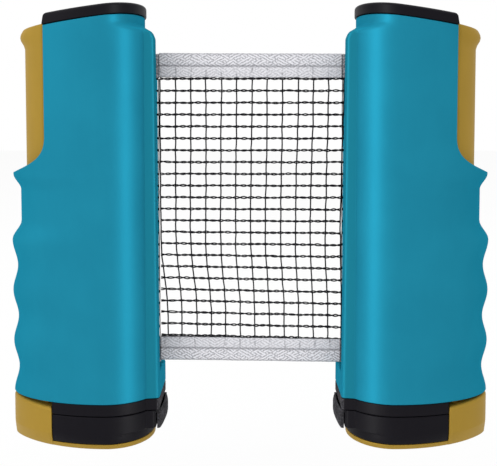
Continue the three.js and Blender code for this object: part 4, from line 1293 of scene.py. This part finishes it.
def net_tree():
    """A net of two-ply level cords and upright strands, in the plane y = 0."""
    tree, given = modifier_tree("twisted net", {
        "Left": -0.04, "Right": 0.04, "Bottom": 0.045, "Top": 0.167, "Columns": 12, "Rows": 22,
        "Steps per cell": 14, "Strand steps": 6, "Sides": 6, "Ply radius": 0.00031, "Ply gap": 0.00034,
        "Strand radius": 0.00036, "Wander": 0.00026, "Strand wander": 0.0003,
        "Low drift": 0.0, "High drift": 0.0, "Sag": 0.0,
    })
    start = given["Geometry"]
    left, right, bottom, top = (given[name] for name in ("Left", "Right", "Bottom", "Top"))
    width, height = right - left, top - bottom
    column_width, row_height = width / given["Columns"], height / given["Rows"]

    def lines(low, high, count, end, resolution):
        seats = start.node("GeometryNodeMeshLine", {"mode": "END_POINTS"}, {
            "Count": count + 1, "Start Location": low, "Offset": high,
        })
        line = start.node("GeometryNodeCurvePrimitiveLine", None, {"Start": (0.0, 0.0, 0.0), "End": end})
        fine = start.node("GeometryNodeResampleCurve", None, {"Curve": line, "Count": resolution + 1})
        placed = start.node("GeometryNodeInstanceOnPoints", None, {"Points": seats, "Instance": fine})
        return start.node("GeometryNodeRealizeInstances", None, {"Geometry": placed})

    def tube(curves, radius):
        ring = start.node(
            "GeometryNodeCurvePrimitiveCircle", None, {"Resolution": given["Sides"], "Radius": radius},
        )
        return start.node("GeometryNodeCurveToMesh", None, {
            "Curve": curves, "Profile Curve": ring, "Fill Caps": True,
        })

    x, _, z = parts_of(start, start.node("GeometryNodeInputPosition"))
    rows = lines(
        vector(start, left, 0.0, bottom), vector(start, left, 0.0, top), given["Rows"],
        vector(start, width), given["Columns"] * given["Steps per cell"],
    )
    cell, row = (x - left) / column_width, (z - bottom) / row_height
    row_number = start.maths("ROUND", row)
    slack = twine_noise(start, x, row_number, 0.006)
    phase = cell * (2 * math.pi) + slack * 0.5
    gap = given["Ply gap"] * (twine_noise(start, x, row_number + 31.0, 0.004) * 0.45 + 1.0)
    sway = slack * given["Wander"]
    plies = []
    for sign in (1.0, -1.0):
        offset = vector(
            start, 0.0, phase.sine() * gap * sign, start.maths("COSINE", phase) * gap * sign + sway,
        )
        ply = start.node("GeometryNodeSetPosition", None, {"Geometry": rows, "Offset": offset})
        plies.append(tube(ply, given["Ply radius"]))
    uprights = lines(
        vector(start, left, 0.0, bottom), vector(start, right, 0.0, bottom), given["Columns"],
        vector(start, 0.0, 0.0, height), given["Rows"] * given["Strand steps"],
    )
    column_number = start.maths("ROUND", cell)
    lean = (
        twine_noise(start, z, column_number + 5.0, 0.007)
        + twine_noise(start, z, column_number, 0.03) * 0.8
    )
    offset = vector(start, lean * given["Strand wander"])
    leaning = start.node("GeometryNodeSetPosition", None, {"Geometry": uprights, "Offset": offset})
    strands = tube(leaning, given["Strand radius"])
    across = (x - left) / width
    low_share = z.step(bottom + height * 0.39, bottom + height * 0.08)
    high_share = z.step(bottom + height * 0.39, top)
    drift = (across * -0.6 + 1.0) * low_share * given["Low drift"] + across * high_share * given["High drift"]
    sag = (across * -1.0 + 0.75) * (z.step(bottom + height * 0.78, bottom - height * 0.1)) * given["Sag"]
    held = across.step(0.0, 1 / net_columns)
    cords = [start.node("GeometryNodeSetPosition", None, {
        "Geometry": ply, "Offset": vector(start, drift * held, 0.0, sag),
    }) for ply in plies]
    cords.append(start.node("GeometryNodeSetPosition", None, {
        "Geometry": strands, "Offset": vector(start, drift, 0.0, sag),
    }))
    end_tree(start.node("GeometryNodeJoinGeometry", None, {0: cords}), black_twine)
    return tree


twisted_net = net_tree()


def net_cords(name, left, right, columns, **values):
    """Net cords between two places along the net, in the frame's millimetres."""
    sizes = {
        "Left": left * MILLIMETRE, "Right": right * MILLIMETRE, "Columns": columns,
        "Bottom": mesh_low * MILLIMETRE, "Top": mesh_high * MILLIMETRE, "Rows": net_rows,
    }
    return grown(name, twisted_net, sizes | values)


main_cords = net_cords(
    "net_cords", net_left + 0.3, net_right - 0.3, net_columns,
    **{
        "Low drift": low_drift * MILLIMETRE, "High drift": high_drift * MILLIMETRE,
        "Sag": row_sag * MILLIMETRE,
    },
)
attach(main_cords, "net")
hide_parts("net_mesh")

# ---- Net tapes ---------------------------------------------------------------------------------------------
# A white woven tape is folded over the net's top edge, and another over its bottom edge. Each is sewn through
# with one line of stitches, below which the strands show as faint ridges under the cloth.

tape_cloth_thickness = 0.36
tape_half_depth = 0.95
tape_stitch_share = 0.535
stitch_pitch, stitch_length, stitch_radius = 2.35, 1.75, 0.16
tape_twill_run, tape_twill_rise = 2.5, 1.4


def tape_cloth(name, strand_drift):
    """White woven tape: a twill that changes hand in patches, pressed ridges over the strands, and painted
    shade in grey along the fold and the stitch line.
    """
    material, wire = new_finish(name)
    place = wire.node("ShaderNodeTexCoord", output="UV")
    u, v, _ = parts_of(wire, place)
    u, v = u * 100.0, v * 100.0
    flat = vector(wire, u, v)
    patch = noise_on(flat, 5.5, 2.0, 0.6, (1, 2.2, 1)).step(0.44, 0.56)
    waver = (noise_on(flat, 3.2, 2.0) - 0.5) * 1.1
    rise = ((u / tape_twill_run + v / tape_twill_rise + waver) * (2 * math.pi)).sine()
    fall = ((u / tape_twill_run - v / tape_twill_rise + waver) * (2 * math.pi)).sine()
    twill = (patch * rise + (patch * -1.0 + 1.0) * fall) * 0.6 + rise * fall * 0.4
    twill = (twill * 0.5 + 0.5).step(0.1, 0.8)
    yarn = noise_on(flat, 0.45, 2.0, 0.6)
    from_edge = wire.maths("ABSOLUTE", v)
    stitch_at = tape_height * tape_stitch_share + (noise_on(flat, 1.7, 1.0) - 0.5) * 0.7
    stitch_gap = wire.maths("ABSOLUTE", from_edge - stitch_at)
    # Masks for painted shade in the colour: the pucker along the stitch line, which also dips the bump, and
    # the folded edge.
    stitch_pucker_and_shade = stitch_gap.step(0.75, 0.1)
    fold_edge_shade = (from_edge + (noise_on(flat, 1.9, 2.0) - 0.5) * 1.1).step(1.35, 0.3)
    strand = (u - strand_drift) / net_pitch + (noise_on(flat, 2.5, 1.0) - 0.5) * 0.16
    strand_gap = wire.maths("ABSOLUTE", wire.maths("FRACT", strand) - 0.5)
    strand_mark = strand_gap.step(0.41, 0.5) * from_edge.step(tape_height * 0.55, tape_height * 0.62)
    strand_mark = strand_mark * noise_on(flat, 2.0, 2.0).step(0.35, 0.65)
    over_mesh = from_edge.step(tape_height * 0.53, tape_height * 0.6)
    contrast = over_mesh * -0.5 + 1.0
    shade = (twill * 0.6 + yarn * 0.5 - 0.05) * contrast + over_mesh * 0.28
    base = shade.step(0.1, 0.8).blend(colour(164, 163, 169), colour(246, 245, 250))
    # Painted shade: grey along the stitch line's pucker and along the folded edge.
    base = (stitch_pucker_and_shade * 0.6 + fold_edge_shade * 0.5).clipped().blend(base, colour(134, 134, 140))
    base = (strand_mark * 0.6).blend(base, colour(118, 118, 124))
    height = twill * 0.5 + yarn * 0.35 + strand_mark * 1.2 - stitch_pucker_and_shade * 1.6
    return finish_with(material, base, 0.92, height, 0.12, Specular_IOR_Level=0.2)


def wobble(x, row, size, height):
    """A slow wander along a tape, the same each time."""
    return noise.noise(Vector((x / size, row * 3.7, 0.3))) * height


def tape_sheet(name, left, right, columns, edge, mouth, material, rise=0.0):
    """A tape folded over one edge of the net, in the plane y = 0, from its folded edge to its open mouth."""
    inward = math.copysign(1, mouth - edge)
    profile = []
    for share in steps(-1, 1, 34):
        depth = abs(share)
        bow = math.sqrt(max(1 - (1 - min(depth / 0.09, 1)) ** 2, 0))
        pinch = 1 - 0.42 * math.exp(-(((depth - tape_stitch_share) / 0.07) ** 2))
        pinch -= 0.12 * smooth(0.7, 1, depth)
        profile.append((math.copysign(tape_half_depth * bow * pinch, share), depth * tape_height, share))
    points, faces, lengths = [], [], []
    for i, x in enumerate(steps(left, right, columns)):
        for y, depth, share in profile:
            side_row = 1 if share > 0 else 0
            ripple = wobble(x, side_row + 2, 3.1, 0.16) * smooth(0.1, 0.4, abs(share))
            hem = wobble(x, side_row + 5, 4.3, 0.35) * smooth(0.7, 1, abs(share)) + wobble(x, 9, 6, 0.22)
            z = edge + inward * (depth * 0.962 + hem * 0.5) + rise * (right - x) / (right - left)
            points.append((x, y + math.copysign(ripple, share), z))
            lengths.append((x / 100, share * tape_height / 100))
    across = len(profile)
    for i in range(columns):
        for j in range(across - 1):
            corner = i * across + j
            faces.append([corner, corner + 1, corner + across + 1, corner + across])
    mesh = bpy.data.meshes.new(name)
    mesh.from_pydata([Vector(p) * MILLIMETRE for p in points], [], faces)
    layer = mesh.uv_layers.new(name="UVMap")
    for loop in mesh.loops:
        layer.data[loop.index].uv = lengths[loop.vertex_index]
    mesh.shade_smooth()
    mesh.materials.append(material)
    piece = bpy.data.objects.new(name, mesh)
    bpy.context.collection.objects.link(piece)
    outward = sum(face.normal.y * face.center.y for face in mesh.polygons)
    if outward < 0:
        mesh.flip_normals()
    thickness = piece.modifiers.new("cloth", "SOLIDIFY")
    thickness.thickness = tape_cloth_thickness * MILLIMETRE
    thickness.offset = -1
    return settled(piece)


def stitch_tree(thread):
    """A short thread on each starting point, lying along the net and slightly turned at random."""
    tree, given = modifier_tree(
        "running stitches", {"Length": 0.0017, "Radius": 0.00015, "Turn": 0.12, "Seed": 5},
    )
    start = given["Geometry"]
    body = start.node("GeometryNodeMeshCylinder", None, {
        "Vertices": 8, "Side Segments": 3, "Radius": given["Radius"], "Depth": given["Length"],
    })
    x, y, z = parts_of(start, start.node("GeometryNodeInputPosition"))
    reach = start.maths("ABSOLUTE", z / (given["Length"] * 0.5))
    pull = reach.step(0.4, 1.0) * -0.55
    sunk = start.node("GeometryNodeSetPosition", None, {
        "Geometry": body, "Offset": vector(start, x * pull, y * pull, 0.0),
    })
    turn = start.node("FunctionNodeRandomValue", {"data_type": "FLOAT"}, {
        "Min": given["Turn"] * -1.0, "Max": given["Turn"], "Seed": given["Seed"],
    }, 1)
    aim = vector(start, 0.0, turn + math.pi / 2, 0.0)
    end_tree(start.node("GeometryNodeInstanceOnPoints", None, {
        "Points": start, "Instance": sunk, "Rotation": aim,
    }), thread)
    return tree


def thread_finish():
    material, wire = new_finish("grey_stitching_thread")
    place, _ = place_of(wire)
    twist = noise_on(place, 0.25, 2.0)
    return finish_with(
        material, twist.step(0.35, 0.65).blend(colour(138, 138, 144), colour(182, 182, 188)),
        0.8, twist, 0.03,
    )


grey_thread = thread_finish()
stitches = stitch_tree(grey_thread)
tapes = {
    "top": (net_top, mesh_high, tape_cloth("woven_tape_top", high_drift * 0.5)),
    "bottom": (net_bottom, mesh_low, tape_cloth("woven_tape_bottom", low_drift * 0.7)),
}
tape_rise = {"top": 0.3, "bottom": 1.2}
for name, (edge, mouth, cloth) in tapes.items():
    tape = tape_sheet(f"net_{name}_tape_cloth", net_left, net_right, 170, edge, mouth, cloth, tape_rise[name])
    line = edge + math.copysign(tape_height * tape_stitch_share, mouth - edge)
    surface = tape_half_depth * 0.58
    count = int((net_right - net_left - 2) / stitch_pitch)
    seats = []
    for y in (-surface, surface):
        for i in range(count + 1):
            x = net_left + 1.2 + i * stitch_pitch
            rise = tape_rise[name] * (net_right - x) / (net_right - net_left)
            seats.append(Vector((x, y, line + rise + wobble(x, 20, 2.1, 0.35))) * MILLIMETRE)
    thread = grown(f"net_{name}_tape_stitches", stitches, {
        "Length": stitch_length * MILLIMETRE, "Radius": stitch_radius * MILLIMETRE,
    }, seats)
    for piece in (tape, thread):
        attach(piece, "net")
    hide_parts(f"net_{name}_tape")

# ---- Net on the roll and in the housing --------------------------------------------------------------------
# The rest of the net is wound on the spool, tapes and all, and leads off the roll to the window.

roll_radius = 15.4
lead_start, lead_end = Vector((12.5, 11.0)), Vector((22.2, 0.0))


def bent(piece, side, path):
    """Lays a flat net piece along a path: path turns (along, across) into a post's own (x, y)."""
    for vertex in piece.data.vertices:
        x, y = path(vertex.co.x / MILLIMETRE, vertex.co.y / MILLIMETRE)
        vertex.co = in_frame(side, x, y, vertex.co.z / MILLIMETRE)
    if TOWARDS_NET[side] < 0:
        piece.data.flip_normals()
    piece.data.update()
    return piece


def net_strip(name, side, length, columns, path, body, steps_per_cell, tape_columns, node=None):
    """Cords and both tapes of a stretch of net, bent along a path."""
    cords = net_cords(f"{name}_cords", 0, length, columns, **{
        "Steps per cell": steps_per_cell, "Strand steps": 2, "Sides": 4,
    })
    pieces = [cords] + [
        tape_sheet(f"{name}_{end}_tape", 0, length, tape_columns, edge, mouth, cloth)
        for end, (edge, mouth, cloth) in tapes.items()
    ]
    for piece in pieces:
        bent(piece, side, path)
        if body:
            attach(piece, body)
        if node:
            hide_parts(node)
    return pieces


def core_finish():
    """The inner layers of the roll: dark, uneven, with the weave of the net below."""
    material, wire = new_finish("wound_net_layers")
    place, (_, _, z) = place_of(wire)
    weave = noise_on(place, 1.4, 3.0, 0.65)
    rows = (z * (2 * math.pi / 5.5)).sine() * 0.5 + 0.5
    base = (weave * 0.7 + rows * 0.3).step(0.35, 0.7).blend(colour(34, 34, 38), colour(96, 96, 101))
    return finish_with(material, base, 0.9, weave + rows, 0.3)


wound_layers = core_finish()
for side in TOWARDS_NET:
    turn_length = 2 * math.pi * roll_radius
    turn_columns = round(turn_length / net_pitch)

    def round_roll(along, across):
        turn = along / roll_radius
        return (roll_radius + across * 0.5) * math.cos(turn), (roll_radius + across * 0.5) * math.sin(turn)

    net_strip(
        f"{side}_rolled_net", side, turn_length, turn_columns, round_roll, f"{side}_spool", 6, 96,
        f"{side}_net_roll",
    )
    inner = [ring_points(0, 0, z, r, 48, "z") for r, z in (
        (7.3, net_bottom + 0.4), (14.6, net_bottom + 0.4), (14.9, net_bottom + 0.8),
        (14.9, net_top - 0.8), (14.6, net_top - 0.4), (7.3, net_top - 0.4))]
    layers = piece_mesh(f"{side}_rolled_layers", side, *loft(inner))
    finish_piece(layers, wound_layers, f"{side}_spool", "net_cord", f"{side}_net_roll")
    even_shading(layers)

    lead = lead_end - lead_start
    along_lead = lead.normalized()
    off_lead = Vector((-along_lead.y, along_lead.x))

    def down_lead(along, across):
        place = lead_start + along_lead * along + off_lead * across * 0.6
        return place.x, place.y

    net_strip(
        f"{side}_leading_net", side, lead.length, 2, down_lead, f"{side}_post", 6, 20, f"{side}_net_lead",
    )

# ---- Reserve net -------------------------------------------------------------------------------------------
# The net that a pull draws off each roll. At rest it is packed close inside the window, and as a post is
# pulled away it opens out into a full stretch of net between that post and the middle.

pull_travel = 800.0
pack_start, pack_end = 19.2, 20.8
pull_columns = round(pull_travel / net_pitch)
for side in TOWARDS_NET:
    def packed(along, across):
        share = min(max(along / pull_travel, 0.0), 1.0)
        rest = 0.5 - math.sin(math.asin(1 - 2 * share) / 3)
        return mix(pack_start, pack_end, rest), across * 0.8

    for piece in net_strip(f"{side}_reserve_net", side, pull_travel, pull_columns, packed, None, 2, 340):
        in_frame(side, pack_start, 0, net_bottom)
        in_frame(side, pack_end, 0, net_bottom)
        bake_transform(piece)

# ---- Studio ------------------------------------------------------------------------------------------------
# A white product studio: a pale floor, low enough for the jaws to open above it, and a white surround, an
# upright strip light on each side of the camera for soft highlights on the drums, and a broad light above.


def studio_floor():
    material, wire = new_finish("studio_floor")
    tree = material.node_tree
    place, _ = place_of(wire)
    speckle = noise_on(place, 40.0, 2.0)
    diffuse = tree.nodes.new("ShaderNodeBsdfDiffuse")
    tree.links.new(speckle.blend(colour(243, 243, 243), colour(247, 247, 247)).socket, diffuse.inputs[0])
    glow = tree.nodes.new("ShaderNodeEmission")
    glow.inputs["Strength"].default_value = 1.0
    rays = tree.nodes.new("ShaderNodeLightPath")
    seen = Wire(tree, rays.outputs["Is Camera Ray"]) + Wire(tree, rays.outputs["Is Glossy Ray"])
    seen = (seen + Wire(tree, rays.outputs["Is Transmission Ray"])).clipped() * 0.92
    share = tree.nodes.new("ShaderNodeMixShader")
    tree.links.new(seen.socket, share.inputs[0])
    tree.links.new(diffuse.outputs[0], share.inputs[1])
    tree.links.new(glow.outputs[0], share.inputs[2])
    output = tree.nodes.new("ShaderNodeOutputMaterial")
    tree.links.new(share.outputs[0], output.inputs[0])
    return material


jaw_travel, floor_reach = 45.0, 6.0
floor_level = -(jaw_travel + 1) * MILLIMETRE
corners = [(x * floor_reach, y * floor_reach, floor_level) for x, y in ((-1, -1), (1, -1), (1, 1), (-1, 1))]
floor_mesh = bpy.data.meshes.new("studio_floor")
floor_mesh.from_pydata(corners, [], [(0, 1, 2, 3)])
floor_mesh.materials.append(studio_floor())
floor = bpy.data.objects.new("studio_floor", floor_mesh)
bpy.context.collection.objects.link(floor)

world = bpy.data.worlds.new("white_surround")
world.use_nodes = True
world_tree = world.node_tree
world_tree.nodes.clear()
world_rays = world_tree.nodes.new("ShaderNodeLightPath")
surround = Wire(world_tree, world_rays.outputs["Is Camera Ray"])
surround = surround + Wire(world_tree, world_rays.outputs["Is Glossy Ray"])
surround = (surround + Wire(world_tree, world_rays.outputs["Is Transmission Ray"])).clipped()
ambient_strength = 0.64
background = world_tree.nodes.new("ShaderNodeBackground")
background.inputs["Color"].default_value = (1.0, 1.0, 1.0, 1.0)
surround_strength = surround * (1 - ambient_strength) + ambient_strength
world_tree.links.new(surround_strength.socket, background.inputs["Strength"])
world_output = world_tree.nodes.new("ShaderNodeOutputWorld")
world_tree.links.new(background.outputs[0], world_output.inputs[0])
bpy.context.scene.world = world

object_middle = Vector((0.0, 0.0, 0.1))


def soft_light(name, place, width, height, power, aim=object_middle, lights_surfaces=True):
    """An area light aimed at a place. Without lights_surfaces it only shows as a reflection."""
    light = bpy.data.lights.new(name, "AREA")
    light.shape = "RECTANGLE"
    light.size, light.size_y = width, height
    light.energy = power
    lamp = bpy.data.objects.new(name, light)
    lamp.location = place
    lamp.visible_diffuse = lights_surfaces
    lamp.rotation_euler = (Vector(aim) - Vector(place)).to_track_quat("-Z", "Y").to_euler()
    bpy.context.collection.objects.link(lamp)
    return lamp


# Each strip is flagged off from the near post, so it only shows on the far post's side that faces the net.
strip_angle, strip_distance, strip_power = math.radians(41), 1.3, 20.0
for side, towards_net in TOWARDS_NET.items():
    place = (
        towards_net * strip_distance * math.sin(strip_angle), -strip_distance * math.cos(strip_angle), 0.05,
    )
    strip = soft_light(
        f"{side}_strip", place, 0.2, 1.9, strip_power, (0.0, 0.0, 0.05), lights_surfaces=False,
    )
    post = bpy.data.collections.new(f"{side}_post_pieces")
    for piece in bpy.context.scene.objects:
        if piece.name.startswith(side) and piece.type == "MESH":
            post.objects.link(piece)
    strip.light_linking.receiver_collection = post
    strip.light_linking.blocker_collection = post
soft_light("key", (-1.4, -1.0, 0.9), 1.2, 1.2, 9.0)
soft_light("overhead", (0.0, 0.0, 1.9), 2.4, 2.4, 21.0)

camera = bpy.data.cameras.new("camera")
camera.sensor_width = 36.0
camera.lens = 55.4
camera.shift_x, camera.shift_y = -0.004, -0.13
camera.clip_start = 0.02
viewer = bpy.data.objects.new("camera", camera)
viewer.location = (0.0, -0.3572, 0.1445)
viewer.rotation_euler = (math.radians(86.95), 0.0, 0.0)
bpy.context.collection.objects.link(viewer)
bpy.context.scene.camera = viewer
bpy.context.scene.view_settings.view_transform = "Standard"
